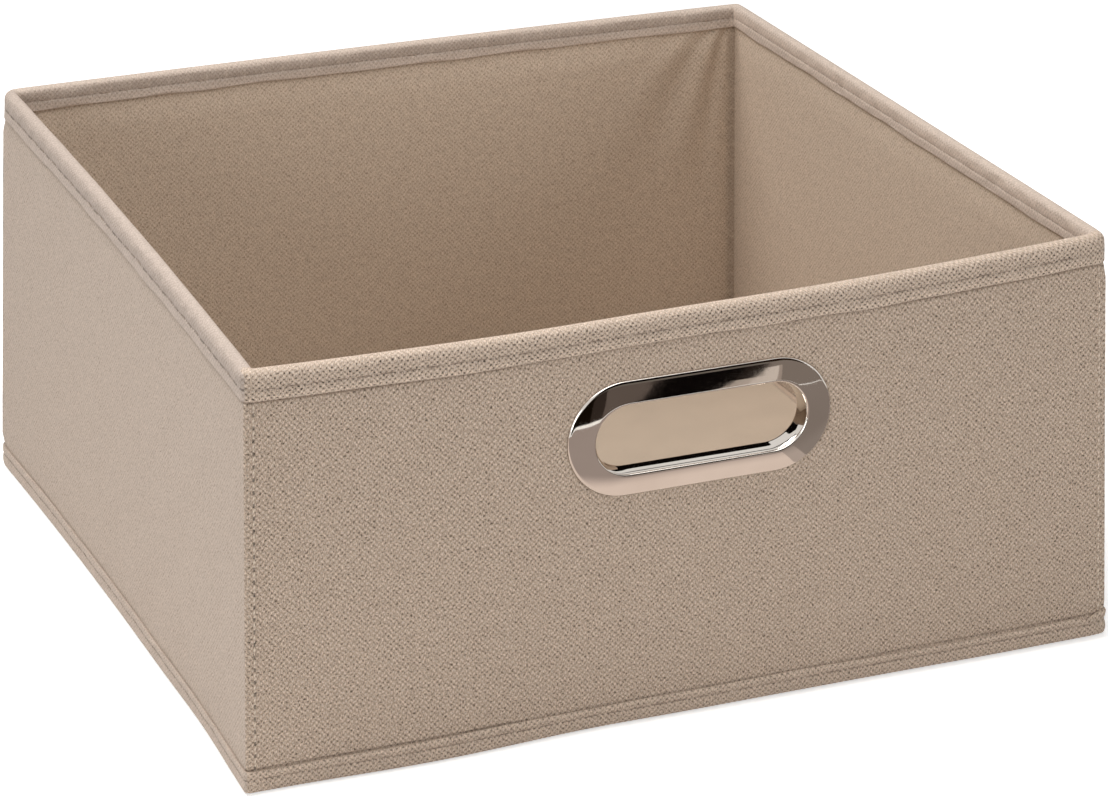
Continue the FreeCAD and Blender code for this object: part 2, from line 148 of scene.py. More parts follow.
def gridFaces(rows, columns, closeRows=False, closeColumns=False):
    # quads between neighbouring grid points, with the last row or column joined to the first
    index = np.arange(rows * columns).reshape(rows, columns)
    if closeRows:
        index = np.vstack([index, index[:1]])
    if closeColumns:
        index = np.hstack([index, index[:, :1]])
    return np.stack([index[:-1, :-1], index[:-1, 1:], index[1:, 1:], index[1:, :-1]], -1).reshape(-1, 4)


def closedSheet(plan, quads, first, second):
    # two layers over one plan, with quads that join them along every border edge of it
    n = len(plan)
    edges = np.concatenate([quads[:, [k, (k + 1) % 4]] for k in range(4)])
    _, back, count = np.unique(np.sort(edges, axis=1), axis=0, return_inverse=True, return_counts=True)
    rim = edges[count[back.reshape(-1)] == 1]
    joining = np.stack([rim[:, 1], rim[:, 0], rim[:, 0] + n, rim[:, 1] + n], -1)
    faces = np.concatenate([quads, quads[:, ::-1] + n, joining])
    return np.concatenate([first, second]), faces, np.concatenate([plan, plan])


def newObject(name, data):
    made = bpy.data.objects.new(name, data)
    bpy.context.scene.collection.objects.link(made)
    return made


def makePiece(name, points, faces, uv, material, body, replaced, slotName, sharpAngle=50.0, settled=True,
              others=([], None)):
    # the arrays become a mesh in metres; uv is one pair of millimetres per vertex, or per face corner;
    # others is a list of further materials and each face's place in the whole list
    points = settle(points) if settled else np.asarray(points, float)
    mesh = bpy.data.meshes.new(name)
    mesh.from_pydata((points / 1000).tolist(), [], faces if isinstance(faces, list) else faces.tolist())
    loops = np.empty(len(mesh.loops), int)
    mesh.loops.foreach_get("vertex_index", loops)
    values = uv[loops] if len(uv) == len(points) else uv
    layer = mesh.uv_layers.new(name="cloth")
    layer.data.foreach_set("uv", np.ascontiguousarray(values, np.float32).ravel())
    further, places = others
    for each in [material] + further:
        mesh.materials.append(each)
    if further:
        mesh.polygons.foreach_set("material_index", np.asarray(places, np.int32))
    mesh.validate()
    mesh.polygons.foreach_set("use_smooth", [True] * len(mesh.polygons))
    mesh.set_sharp_from_angle(angle=math.radians(sharpAngle))
    piece = newObject(name, mesh)
    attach(piece, body)
    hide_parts(replaced)
    return piece


def toLinear(hexColour):
    # sRGB hex to linear: c / 12.92 below 0.04045, else ((c + 0.055) / 1.055) to the power 2.4
    channels = [int(hexColour[i:i + 2], 16) / 255 for i in (1, 3, 5)]
    return tuple(c / 12.92 if c <= 0.04045 else ((c + 0.055) / 1.055) ** 2.4 for c in channels) + (1.0,)


modes = {"Math": "operation", "VectorMath": "operation", "MapRange": "interpolation_type",
         "Mix": "data_type", "TexNoise": "noise_dimensions"}


def addNode(tree, kind, *values, **named):
    # kind is the node's type and, after a space, its mode. values fill the sockets in use, in order,
    # and named ones the property or socket of that name. An output is linked, a node by its first
    # output in use, a hex colour is turned to linear, and anything else is set
    kind, _, mode = kind.partition(" ")
    node = tree.nodes.new("ShaderNode" + kind)
    if mode:
        setattr(node, modes[kind], mode)
    targets = list(zip([socket for socket in node.inputs if socket.enabled], values))
    for key, value in named.items():
        if hasattr(node, key):
            setattr(node, key, value)
        else:
            targets.append((node.inputs[key], value))
    for socket, value in targets:
        if isinstance(value, bpy.types.Node):
            value = next(output for output in value.outputs if output.enabled)
        if isinstance(value, bpy.types.NodeSocket):
            tree.links.new(value, socket)
        else:
            socket.default_value = toLinear(value) if isinstance(value, str) else value
    return node


def emptied(owner):
    # addNode for the empty node tree of a material or the world
    owner.use_nodes = True
    owner.node_tree.nodes.clear()
    return partial(addNode, owner.node_tree)


def makeMaterial(name, pattern, *inputs):
    # pattern adds the material's own nodes and gives its shader, or what the usual shader takes
    material = bpy.data.materials.new(name)
    add = emptied(material)
    surface = pattern(add, *inputs)
    if isinstance(surface, dict):
        surface = add("BsdfPrincipled", **surface)
    add("OutputMaterial", surface)
    return material


def cosineOf(add, source, pitch):
    # cos(2 pi source / pitch)
    return add("Math COSINE", add("Math MULTIPLY", source, 2 * math.pi / pitch))


# Embossed spunbond polypropylene: heat-pressed pits in staggered rows between raised bars.
# The eye reads it as a fine woven taupe cloth with a dry, slightly rosy sheen.
wallWeave = dict(flat=0.2, across=1.95, up=2.08, wander=0.34, jitter=0.22)
tapeWeave = dict(flat=0.6, across=2.02, up=1.94, wander=0.22, jitter=0.14)
clothLooks = {
    "cover": dict(wallWeave, base="#b5a18f", pit="#443324", ridge="#dacbbc", pitShare=0.84, ridgeShare=0.46,
                  pitFrom=0.40, pitTo=0.92, depth=0.12, grain=0.38, mottle=0.02, cloud=0.15, broken=0.75),
    "side": dict(wallWeave, base="#b8a798", pit="#77655a", ridge="#cbbdb1", pitShare=0.62, ridgeShare=0.36,
                 pitFrom=0.20, pitTo=0.85, depth=0.09, grain=0.20, mottle=0.05, cloud=0.30, broken=0.80),
    "lining": dict(wallWeave, base="#bca996", pit="#786552", ridge="#d0c1ad", pitShare=0.52, ridgeShare=0.30,
                   pitFrom=0.15, pitTo=0.80, depth=0.08, grain=0.20, mottle=0.06, cloud=0.30, broken=0.80,
                   up=1.98),
    "tape": dict(tapeWeave, base="#bca896", pit="#2a1d13", ridge="#ded1c4", pitShare=1.0, ridgeShare=0.42,
                 pitFrom=0.34, pitTo=0.86, depth=0.17, grain=0.34, mottle=0.03, cloud=0.15, broken=0.45),
    "tapeSoft": dict(tapeWeave, base="#bbaa9c", pit="#76655a", ridge="#d6c9bd", pitShare=0.42,
                     ridgeShare=0.28, pitFrom=0.15, pitTo=0.80, depth=0.08, grain=0.18, mottle=0.05,
                     cloud=0.25, broken=0.75),
}
fibreSize = 0.26  # millimetres


def embossedCloth(add, look, seams=(), plain=None):
    # pits where cos(2 pi u / across) * cos(2 pi v / up) is near 1, u and v moved by a slow and a
    # quick noise so that the rows wander and the pits are ragged. Another noise fills some pits, and
    # (cos(2 pi v / up))^2 keeps them lower than wide. seams are dashes of painted shade along a line,
    # or of painted light where the shade is negative: (axis, at, half width, pitch, share of the pitch,
    # shade), a negative share for the gaps between.
    # plain is a band of v where the fold has stretched the pits away: (at, half width, softness)
    uv = add("UVMap", uv_map="cloth")
    flat = add("SeparateXYZ", uv)

    def besideLine(axis, at):
        # distance from the line where that coordinate of the flat cloth is at
        return add("Math ABSOLUTE", add("Math SUBTRACT", flat.outputs[axis], float(at)))

    place = uv
    for scale, detail, reach in ((0.45, 2.0, look["wander"]), (1.3, 1.0, look["jitter"])):
        drift = add("TexNoise 2D", uv, scale, detail)
        centred = add("VectorMath SUBTRACT", drift.outputs["Color"], (0.5, 0.5, 0.5))
        place = add("VectorMath ADD", place, add("VectorMath SCALE", centred, reach * 4))
    split = add("SeparateXYZ", place)
    cosU = cosineOf(add, split.outputs["X"], look["across"])
    cosV = cosineOf(add, split.outputs["Y"], look["up"])
    lattice = add("Math MULTIPLY", cosU, cosV)
    squared = add("Math MULTIPLY", cosV, cosV)
    gaps = add("TexNoise 2D", uv, 0.75)
    depths = [add("MapRange SMOOTHSTEP", lattice, look["pitFrom"], look["pitTo"]),
              add("MapRange", gaps, 0.36, 0.58, 1 - look["broken"]),
              add("MapRange", squared, 0.45, 0.95, 1 - look["flat"])]
    if plain:
        at, half, softness = plain
        depths.append(add("MapRange SMOOTHSTEP", besideLine("Y", at), half, half + softness, 0.15))
    pit = depths[0]
    for depth in depths[1:]:
        pit = add("Math MULTIPLY", pit, depth)
    colour = look["base"]
    ridge = add("MapRange SMOOTHSTEP", lattice, -0.05, -0.85)
    for part, tone in ((pit, "pit"), (ridge, "ridge")):
        share = add("Math MULTIPLY", part, look[tone + "Share"])
        colour = add("Mix RGBA", share, colour, look[tone])

    # fibres: noise about a quarter millimetre across, drawn out along one diagonal
    lie = add("Mapping", uv, Rotation=(0, 0, math.radians(38)), Scale=(1.0, 0.5, 1.0))
    fibre = add("TexNoise 2D", lie, 1 / fibreSize / 1.6, 2.0, 0.7)
    cloud = add("TexNoise 2D", uv, look["cloud"], 3.0, 0.65)
    shades = [add("MapRange", noise, low, 1 - low, 1 - swing, 1 + swing)
              for noise, low, swing in ((cloud, 0.3, look["mottle"]), (fibre, 0.32, look["grain"]))]
    for axis, at, half, pitch, share, dark in seams:
        side, run = ("Y", "X") if axis == "v" else ("X", "Y")
        band = add("MapRange SMOOTHSTEP", besideLine(side, at), half, half * 0.3)
        sign = math.copysign(1, share)
        edge = sign * math.cos(math.pi * abs(share))
        wave = cosineOf(add, flat.outputs[run], pitch)
        dash = add("MapRange", wave, edge - 0.15 * sign, edge + 0.15 * sign)
        marked = add("Math MULTIPLY", band, dash)
        shades.append(add("MapRange", marked, 0.0, 1.0, 1.0, 1 - dark))
    shade = shades[0]
    for factor in shades[1:]:
        shade = add("Math MULTIPLY", shade, factor)

    # height: pits pressed in, fibres standing up a little between them
    height = add("Math SUBTRACT", add("Math MULTIPLY", fibre, 0.5), pit)
    return {"Base Color": add("VectorMath SCALE", colour, shade),
            "Normal": add("Bump", 0.8, look["depth"] / 1000, Height=height), "Roughness": 0.82,
            "Sheen Weight": 0.16, "Sheen Roughness": 0.45, "Sheen Tint": "#f3e4dc",
            "Specular IOR Level": 0.25}


stitchPitch = 7.9  # between the needle holes of the tapes' seams
cornerPitch = 4.5  # between those of the upright rows beside the corners
# painted shade in the needle holes beside the corners, between the light stitches, and painted shadow lines
# on the cloth just under the rim tape and just over the foot tape, where their folded edges overhang it
paintedCornerShade = [("u", -151.3, 0.58, cornerPitch, 0.32, 0.56), ("u", 151.3, 0.45, cornerPitch, 0.25, 0.15),
               ("v", 139.2, 0.7, cornerPitch, 1.0, 0.16), ("v", 8.4, 0.7, cornerPitch, 1.0, 0.16)]
# painted shade on the back lining's strip beside its corner, where a fold turns the cloth from the light; the
# back lining is a copy of the lining felt that carries it
liningCornerShade = [("u", -150.4, 4.6, stitchPitch, 1.0, 0.22)]  # the shaded part of the back lining
coverCloth = makeMaterial("EmbossedCoverFelt", embossedCloth, clothLooks["cover"], paintedCornerShade)
sideCloth = makeMaterial("EmbossedSideFelt", embossedCloth, clothLooks["side"])
liningCloth = makeMaterial("EmbossedLiningFelt", embossedCloth, clothLooks["lining"])
backLiningCloth = makeMaterial("EmbossedBackLiningFelt", embossedCloth, clothLooks["lining"], liningCornerShade)


def smoothFelt(add, base, light, dark):
    # plain spunbond: point bonds on a square lattice, under a fibre noise, dull with a soft sheen
    bond = 1.6  # millimetres
    uv = add("UVMap", uv_map="cloth")
    fibre = add("TexNoise 2D", uv, 1.3, 4.0, 0.7)
    cloud = add("TexNoise 2D", uv, 0.05, 3.0)
    split = add("SeparateXYZ", uv)
    cosines = [cosineOf(add, split.outputs[axis], bond) for axis in "XY"]
    bonds = add("MapRange SMOOTHSTEP", add("Math MULTIPLY", *cosines), 0.55, 0.95)
    tone = add("Mix RGBA", fibre, base, light)
    bondTone = add("Mix RGBA", add("Math MULTIPLY", bonds, 0.35), tone, dark)
    cloudTone = add("MapRange", cloud, 0.3, 0.7, 0.97, 1.03)
    height = add("Math SUBTRACT", fibre, bonds)
    return {"Base Color": add("VectorMath SCALE", bondTone, cloudTone),
            "Normal": add("Bump", 0.5, 0.00005, Height=height), "Roughness": 0.75,
            "Sheen Weight": 0.15, "Specular IOR Level": 0.3}


def greyPulp(add):
    # grey bookbinder's board: pressed recycled pulp with darker flecks, dull and hard
    place = add("TexCoord").outputs["Object"]
    pulp = add("TexNoise", place, 900.0, 5.0, 0.7)
    spots = add("MapRange", add("TexVoronoi", place, 320.0), 0.12, 0.02)
    tone = add("Mix RGBA", pulp, "#8f8a80", "#a8a297")
    return {"Base Color": add("Mix RGBA", spots, tone, "#5f5b54"), "Roughness": 0.9,
            "Normal": add("Bump", 0.4, 0.0001, Height=pulp)}


def spunThread(add, base, shade):
    # spun polyester sewing thread: two plies, seen as slanting light and dark bands 0.9 mm apart
    uv = add("UVMap", uv_map="cloth")
    ply = add("TexWave", uv, 0.35, 0.6, wave_type="BANDS", bands_direction="DIAGONAL").outputs["Fac"]
    return {"Base Color": add("Mix RGBA", ply, shade, base), "Roughness": 0.6,
            "Sheen Weight": 0.2, "Normal": add("Bump", 0.6, 0.00006, Height=ply)}


def nickelPlate(add):
    # bright nickel-plated pressed steel: mirror-like, a little warm, faintly uneven where it was polished
    place = add("TexCoord").outputs["Object"]
    swirl = add("TexNoise", place, 60.0)
    fine = add("TexNoise", place, 700.0, 3.0)
    tone = add("Mix RGBA", swirl, "#c9c1b8", "#d8d1c9")
    return {"Metallic": 1.0, "Base Color": tone,
            "Roughness": add("MapRange", fine, 0.3, 0.7, 0.03, 0.06),
            "Normal": add("Bump", 0.12, 0.0003, Height=swirl)}


panelFelt = makeMaterial("PanelSleeveFelt", smoothFelt, "#a89683", "#b8a794", "#917f6d")
baseFelt = makeMaterial("BaseFelt", smoothFelt, "#a8927f", "#b9a491", "#8f7a68")
greyBoard = makeMaterial("GreyBoardPulp", greyPulp)
# one thread in two copies: the seams' one darker, painted shade where it lies sunk in the tapes' grooves, the
# corners' one lighter, a painted highlight where it stands proud
seamThreadShaded = makeMaterial("SpunPolyesterThread", spunThread, "#a08c7b", "#7b6959")
cornerThreadLit = makeMaterial("CornerThread", spunThread, "#e2d3c3", "#bba692")
nickel = makeMaterial("NickelPlatedSteel", nickelPlate)
print("materials made")

# The four walls, each a cover, a board and a lining.
wallParts = {
    "coverOut": 154.2, "coverIn": 153.6, "boardIn": 151.4, "liningIn": 150.8,
    "top": 148.8, "coverLow": 1.4, "low": 1.6, "boardTop": 148.6, "boardHalf": 150.7,
    "hole": 13.0,  # radius of the cut-out's ends in the cloth
    "foldWidth": 3.6, "foldProud": 0.34,  # seam allowance folded in beside each front and back corner
    "seamInset": 2.9, "seamWidth": 0.35, "seamDepth": 0.20,
    "pressed": {"front": 0.5, "right": 0.12, "back": 0.35, "left": 0.12},  # by the tapes' edges
    "tapeFoot": 8.0, "tapeRim": 139.5, "tapeRimIn": 141.0,
    "waviness": 0.16, "ripple": 0.07,
}


def gripDistance(along, up):
    # distance from the straight middle line of the grip's finger hole
    beside = np.clip(np.abs(along - gripPlace["x"]) - gripPlace["reach"], 0, None)
    return np.hypot(beside, up - gripPlace["z"])


def coverRelief(along, up, wall):
    # the cover bellies a little between the tapes, waves gently, lies flat under tapes and grip,
    # and on the front and back has a folded strip along each corner with a row of stitches pulled in
    w = wallParts
    seen = (smooth(w["tapeFoot"] - 0.5, w["tapeFoot"] + 7, up)
            * smooth(w["tapeRim"] + 0.5, w["tapeRim"] - 7, up))
    edge = w["coverOut"] - np.abs(along)
    height = w["waviness"] * (1 + waves(along, up, 3 + turns[wall], 46)) * seen * smooth(2.5, 14, edge)
    height += w["ripple"] * waves(along, up * 0.6, 11 + turns[wall], 13) * seen
    for edgeAt, side in ((w["tapeRim"], -1), (w["tapeFoot"], 1)):
        height -= w["pressed"][wall] * np.exp(-((up - edgeAt - 0.25 * side) / 0.5) ** 2)
    if wall == "front":
        height *= smooth(19, 34, gripDistance(along, up))
    if wall in ("front", "back"):
        band = smooth(w["foldWidth"] + 0.25, w["foldWidth"] - 0.35, edge) * smooth(-0.1, 0.9, edge)
        wave = np.cos(2 * np.pi * up / cornerPitch)
        height += w["foldProud"] * band * (1 + 0.25 * wave) * seen
        pulled = 0.72 - 0.28 * wave
        height -= w["seamDepth"] * np.exp(-((edge - w["seamInset"]) / w["seamWidth"]) ** 2) * pulled * seen
    return height


liningParts = {
    "puff": 0.7, "waviness": 0.10,
    # folds on the back wall, from a corner at x and z: place, spacing, height and reach of the crests
    "x": 151.0, "z": 150.0, "power": 0.58, "crest": 1.50, "period": 0.835, "height": 0.80, "reach": 96.0,
    "crease": (0.97, 0.07, 0.12),  # the narrow one beside the corner: place, width, height
}


def liningRelief(along, up, wall):
    # inwards: the lining stands off its board a little, sinks to the corner over the last 9 mm, and
    # on the back wall folds fan down from the corner: crests of constant dx / dz ^ 0.58
    w, f = wallParts, liningParts
    seen = smooth(4, 16, up) * smooth(w["tapeRimIn"], w["tapeRimIn"] - 10, up)
    edge = w["liningIn"] - np.abs(along)
    height = f["puff"] * smooth(0, 9, edge) * seen
    height += f["waviness"] * waves(along, up, 23 + turns[wall], 52) * seen * smooth(2, 12, edge)
    if wall == "front":
        height *= smooth(20, 34, gripDistance(along, up))
    if wall == "back":
        dx = np.clip(f["x"] + along, 0.01, None)  # seen from outside, this corner is at -along
        dz = np.clip(f["z"] - up, 0.5, None)
        root = np.sqrt(dx / dz ** f["power"])
        fan = np.cos(2 * np.pi * (root - f["crest"]) / f["period"]) * (1 - 0.5 * smooth(1.6, 2.3, root))
        near = smooth(f["reach"], 30, np.hypot(dx, dz))
        top = smooth(w["tapeRimIn"] + 1, w["tapeRimIn"] - 3, up)
        height += f["height"] * fan * smooth(0.75, 1.15, root) * smooth(3.0, 2.3, root) * near * top
        at, width, crease = f["crease"]
        height += crease * np.exp(-((root - at) / width) ** 2) * near * top
    return height


def fineEdges(half, step, fine=0.25, reach=5.0):
    # samples from -half to half: fine ones within reach of both ends, step apart between
    ends = np.arange(0, reach, fine)
    return np.concatenate([-half + ends, evenly(-half + reach, half - reach, step), (half - ends)[::-1]])


def fineRows(low, high, rise):
    # rows rise apart, with finer ones where a tape's edge presses the cloth in
    tapeEdges = (wallParts["tapeFoot"], wallParts["tapeRim"])
    rows = evenly(low, high, rise)
    rows = rows[np.min([np.abs(rows - at) for at in tapeEdges], axis=0) > 1.4]
    return np.sort(np.concatenate([rows] + [at + np.arange(-1.2, 1.3, 0.3) for at in tapeEdges]))


def rectanglePlan(columns, rows):
    along, up = np.meshgrid(columns, rows)
    return np.stack([along.ravel(), up.ravel()], -1), gridFaces(len(rows), len(columns))


def stadiumRing(half, radius, offsets):
    # the point of a stadium in each offset's direction: on the straight where radius / sine stays
    # over it, else on the end's circle, at half cos + root(radius^2 - (half sin)^2)
    direction = offsets / np.linalg.norm(offsets, axis=1)[:, None]
    cosine, sine = np.abs(direction[:, 0]), np.abs(direction[:, 1])
    straight = radius / np.maximum(sine, 1e-9)
    rounded = half * cosine + np.sqrt(np.maximum(radius ** 2 - (half * sine) ** 2, 0))
    return direction * np.where(straight * cosine <= half, straight, rounded)[:, None]


def holedPlan(columns, rows, radius, step):
    # plain grids left and right, and between them rings that run from the hole's stadium to the
    # rectangle's border, closer together near the hole
    g = gripPlace
    left, right = g["x"] - g["field"], g["x"] + g["field"]
    plans = [rectanglePlan(np.append(columns[columns < left - 0.4 * step], left), rows),
             rectanglePlan(np.insert(columns[columns > right + 0.4 * step], 0, right), rows)]
    across = evenly(left, right, step)
    sides = ((across[:-1], rows[0]), (right, rows[:-1]), (across[:0:-1], rows[-1]), (left, rows[:0:-1]))
    border = np.concatenate([np.stack(np.broadcast_arrays(*side), -1) for side in sides])
    centre = np.array([g["x"], g["z"]])
    ring = centre + stadiumRing(g["reach"], radius, border - centre)
    t = np.linspace(0, 1, g["rings"])[:, None, None] ** 1.4
    grid = ring * (1 - t) + border * t
    plans.append((grid.reshape(-1, 2), gridFaces(g["rings"], len(border), closeColumns=True)[:, ::-1]))
    starts = np.cumsum([0] + [len(plan) for plan, _ in plans])
    points = np.concatenate([plan for plan, _ in plans])
    faces = np.concatenate([quads + start for (_, quads), start in zip(plans, starts)])
    _, first, back = np.unique(np.round(points, 4), axis=0, return_index=True, return_inverse=True)
    return points[first], back.reshape(-1)[faces]


def wallSheet(name, wall, half, low, high, outAt, inAt, material, replaced, slotName, step=2.4, rise=2.4,
              holeRadius=None, edgeRound=0.0, fine=False):
    # a closed sheet over a plan in (along, up): its outer and inner face lie outAt and inAt out of
    # the middle of the box, and the upright edges of the outer face turn round a quarter circle
    rows = fineRows(low, high, rise) if fine else evenly(low, high, rise)
    columns = fineEdges(half, step)
    plan, quads = holedPlan(columns, rows, holeRadius, step) if holeRadius else rectanglePlan(columns, rows)
    along, up = plan[:, 0], plan[:, 1]
    flat = half - edgeRound
    over = np.clip((np.abs(along) - flat) / max(edgeRound, 1e-6), 0, 1) * math.pi / 2
    turned = np.sign(along) * (np.minimum(np.abs(along), flat) + edgeRound * np.sin(over))
    outer = onWall(turned, outAt(along, up) - edgeRound * (1 - np.cos(over)), up, turns[wall])
    inset = half - 0.3 * bool(edgeRound)
    inner = onWall(np.clip(along, -inset, inset), inAt(along, up), up, turns[wall])
    return makePiece(name, *closedSheet(plan, quads, outer, inner), material, "box", replaced, slotName)


def level(value):
    return lambda along, up: np.full(along.shape, value)


w = wallParts
for wall in turns:
    # the cover's length, half the lining's, the cover's spacing of rows and its rounded upright edge
    lengthwise = wall in ("front", "back")
    wide, inside, rise, rounded = (308.4, 151.4, 1.1, 1.1) if lengthwise else (306.4, 150.8, 2.0, 0.3)
    hole = w["hole"] if wall == "front" else None
    cover = wallSheet(
        wall + "CoverCloth", wall, wide / 2, w["coverLow"], w["top"],
        lambda along, up: w["coverOut"] + coverRelief(along, up, wall), level(w["coverIn"]),
        coverCloth if lengthwise else sideCloth, wall + "_cover", "embossed_fabric", rise=rise,
        holeRadius=hole, edgeRound=rounded, fine=True)
    wallSheet(
        wall + "BoardCore", wall, w["boardHalf"], w["low"], w["boardTop"], level(w["coverIn"]),
        level(w["boardIn"]), greyBoard, wall + "_board", "grey_board", step=8, rise=6,
        holeRadius=hole and hole + 0.2)
    lining = wallSheet(
        wall + "LiningCloth", wall, inside, w["low"], w["top"], level(w["boardIn"]),
        lambda along, up: w["liningIn"] - liningRelief(along, up, wall),
        backLiningCloth if wall == "back" else liningCloth, wall + "_lining", "lining_fabric",
        step=1.8 if wall == "back" else 2.4, rise=1.6 if wall == "back" else 2.4, holeRadius=hole)
print("walls made")

# Binding tapes: a cross-section carried round the box. Each of its points turns a corner on its own
# radius, so the outside turns softly and the inside crisply.
tapePath = {
    "wallSteps": 203, "cornerSteps": 9,
    "halfWall": 152.0, "wallPitch": 308.1,  # lengths in the cloth's own coordinates
    "closing": 0.9,  # across the gap between the section's last point and its first
}


def carryRound(section, tape, insideAt, relief):
    # section is (out, up) per point, closed; a corner's radius goes from the inside one at insideAt
    # to the outside one at the tape's outside; the path runs along each wall between its corner arcs
    # and round each arc, and relief(along, wall) moves the points along the section's outward normal
    out, up = section[:, 0], section[:, 1]
    tangent = np.roll(section, -1, 0) - np.roll(section, 1, 0)
    tangent /= np.linalg.norm(tangent, axis=1)[:, None]
    normalOut, normalUp = tangent[:, 1], -tangent[:, 0]
    radii = [(tape["cornerInside"][wall], tape["cornerOutside"][wall]) for wall in turns]
    rounds = [np.interp(out, [insideAt, tape["outside"]], ends) for ends in radii]
    halfWall, pitch, cornerSteps = (tapePath[k] for k in ("halfWall", "wallPitch", "cornerSteps"))
    share = np.linspace(0, 1, tapePath["wallSteps"] + 1)[:, None]
    turned = np.linspace(0, 1, cornerSteps + 2)[1:-1]
    angle = np.linspace(0, math.pi / 2, cornerSteps + 2)[1:-1][:, None]
    rows, lengths = [], []
    for wall, turn in turns.items():
        start, stop = rounds[turn - 1] - out, out - rounds[turn]
        along = start + share * (stop - start)
        lift = relief(along, wall)
        rows.append(onWall(along, out + lift * normalOut, up + lift * normalUp, turn))
        lengths.append(turn * pitch + (2 * share[:, 0] - 1) * halfWall)
        lift = np.repeat(relief(stop[None], wall), cornerSteps, 0)
        radius = rounds[turn] + lift * normalOut
        x, y = stop + radius * np.sin(angle), stop + radius * np.cos(angle)
        rows.append(onWall(x, y, up + lift * normalUp, turn))
        lengths.append(turn * pitch + halfWall + turned * (pitch - 2 * halfWall))
    return np.concatenate(rows), np.concatenate(lengths)


def wallOf(points, faces):
    # 0 for the faces on the front wall, 1, 2 and 3 for those on the right, back and left ones
    x, y, _ = points[faces].mean(axis=1).T
    beside = np.where(x > 0, 1, 3)
    front = (y < -150) & (np.abs(x) < wallParts["coverOut"])
    return np.where(front, 0, np.where(y > np.abs(x), 2, beside))


def closedTube(grid, lengths, across):
    # faces round a grid that closes both ways, with a uv pair per face corner, so that the
    # pattern doesn't run back across the two closing seams
    rows, columns = grid.shape[:2]
    faces = gridFaces(rows, columns, closeRows=True, closeColumns=True)[:, ::-1]
    corners = gridFaces(rows + 1, columns + 1)[:, ::-1]
    u = np.append(lengths, lengths[0] + 4 * tapePath["wallPitch"])
    v = np.append(across, across[-1] + tapePath["closing"])
    uv = np.stack(np.broadcast_arrays(u[:, None], v[None]), -1).reshape(-1, 2)
    return grid.reshape(-1, 3), faces, uv[corners.reshape(-1)]


def acrossAt(section, part, value, axis=1):
    # the tape's own coordinate where that part of its section passes a value of out or up
    order = np.argsort(section[part, axis])
    return np.interp(value, section[part, axis][order], runLength(section)[part][order])


def seamRelief(up, along, tape, seam, groove):
    # a groove along the seam, deepest in the middle of each stitch and at its needle holes
    wave = np.cos(2 * np.pi * along / stitchPitch)
    valley = np.exp(-((up - seam) / tape["grooveWidth"]) ** 2)
    return -groove * valley * (0.8 - 0.35 * wave ** 9 * (wave > 0))


def alongWalls(grid):
    # each point's place along its wall, a second coordinate that tells the walls apart for waves,
    # and how far it is from the corners, 1 on most of the wall
    x, y = grid[..., 0], grid[..., 1]
    lengthwise = np.abs(x) < np.abs(y)
    along = np.where(lengthwise, x, y)
    lane = 300 * np.where(lengthwise, np.sign(y), 2 * np.sign(x))
    return along, lane, np.clip((153 - np.abs(along)) / 12, 0, 1)


def dashes(at, half, thread, hole=0.5, holeShare=0.10):
    # painted shade of a seam: over each sunk stitch, where its groove is in shadow, and in the needle holes
    # between them; thread and hole say how dark each is
    rows = [("v", at, half, stitchPitch, -0.62, thread), ("v", at, half, stitchPitch, holeShare, hole)]
    return rows if thread else rows[1:]


# a band of painted shade along the tape, or of painted light where the shade is negative
def shadeBand(at, half, shade):
    return [("v", at, half, stitchPitch, 1.0, shade)]


rimTape = {
    "outside": 155.0, "inside": 150.0, "top": 150.0, "low": 139.5, "lowInside": 141.0,
    "crownOut": 2.9, "crownIn": 2.0, "fold": 0.45, "seam": 143.7, "seamInside": 144.8,
    "groove": {"front": 0.20, "right": 0.42, "back": 0.42, "left": 0.42}, "grooveWidth": 0.45,
    "puff": 0.28, "wander": 0.26, "crownWander": 0.12,
    "wave": {"front": 0.12, "right": 0.18, "back": 0.18, "left": 0.18},
    "cornerOutside": {"front": 3.0, "right": 1.9, "back": 3.0, "left": 3.0},
    "cornerInside": {"front": 3.2, "right": 0.5, "back": 0.8, "left": 0.8},
    "paintedWallLight": {  # painted light and shade per wall, on copies of one tape: wall, base colour, then one band of painted shade, lighter where negative: its height, half width, shade
        "Right": ("#bbaa9c", ("inner", 146.0), 3.6, -0.09),
        "Back": ("#bbaa9c", ("inner", 146.0), 3.6, 0.18),
        "Left": ("#b5a599", ("outer", 146.48), 3.0, 0.12),
    },
}


def rimSection(t):
    # outer fold, outer leg, crown, inner leg, inner fold, then back up over the wall's top edge
    f = t["fold"]
    return np.concatenate([
        arc((t["outside"] - f, t["low"] + f), f, 180, 360, 8),
        line((t["outside"], t["low"] + f), (t["outside"], t["top"] - t["crownOut"]), 22),
        arc((t["outside"] - t["crownOut"], t["top"] - t["crownOut"]), t["crownOut"], 0, 90, 10),
        arc((t["inside"] + t["crownIn"], t["top"] - t["crownIn"]), t["crownIn"], 90, 180, 10),
        line((t["inside"], t["top"] - t["crownIn"]), (t["inside"], t["lowInside"] + f), 18),
        arc((t["inside"] + f, t["lowInside"] + f), f, 180, 360, 8),
        line((t["inside"] + 2 * f, t["lowInside"] + f), (150.85, 148.0), 4),
        np.array([[150.9, 148.85], [152.5, 148.95], [154.1, 148.85]]),
        line((154.15, 148.0), (154.15, t["low"] + 1), 5),
    ])


rimLine = rimSection(rimTape)
rimParts = {"outer": slice(8, 30), "crown": slice(30, 50), "inner": slice(50, 68)}  # as counted above
rimOut, rimUp, rimAcross = rimLine[:, 0], rimLine[:, 1], runLength(rimLine)
onOutside = rimOut > 152.5
isLeg = np.where(onOutside, smooth(139.6, 140.6, rimUp), smooth(141.1, 142.1, rimUp))
isLeg = isLeg * smooth(149.4, 146.6, rimUp)
isSkin = (rimOut > 154.9) | (rimOut < 150.1) | (rimUp > 149.2)
isOuterBand = (rimOut > 154.3) | (rimOut < 150.7)


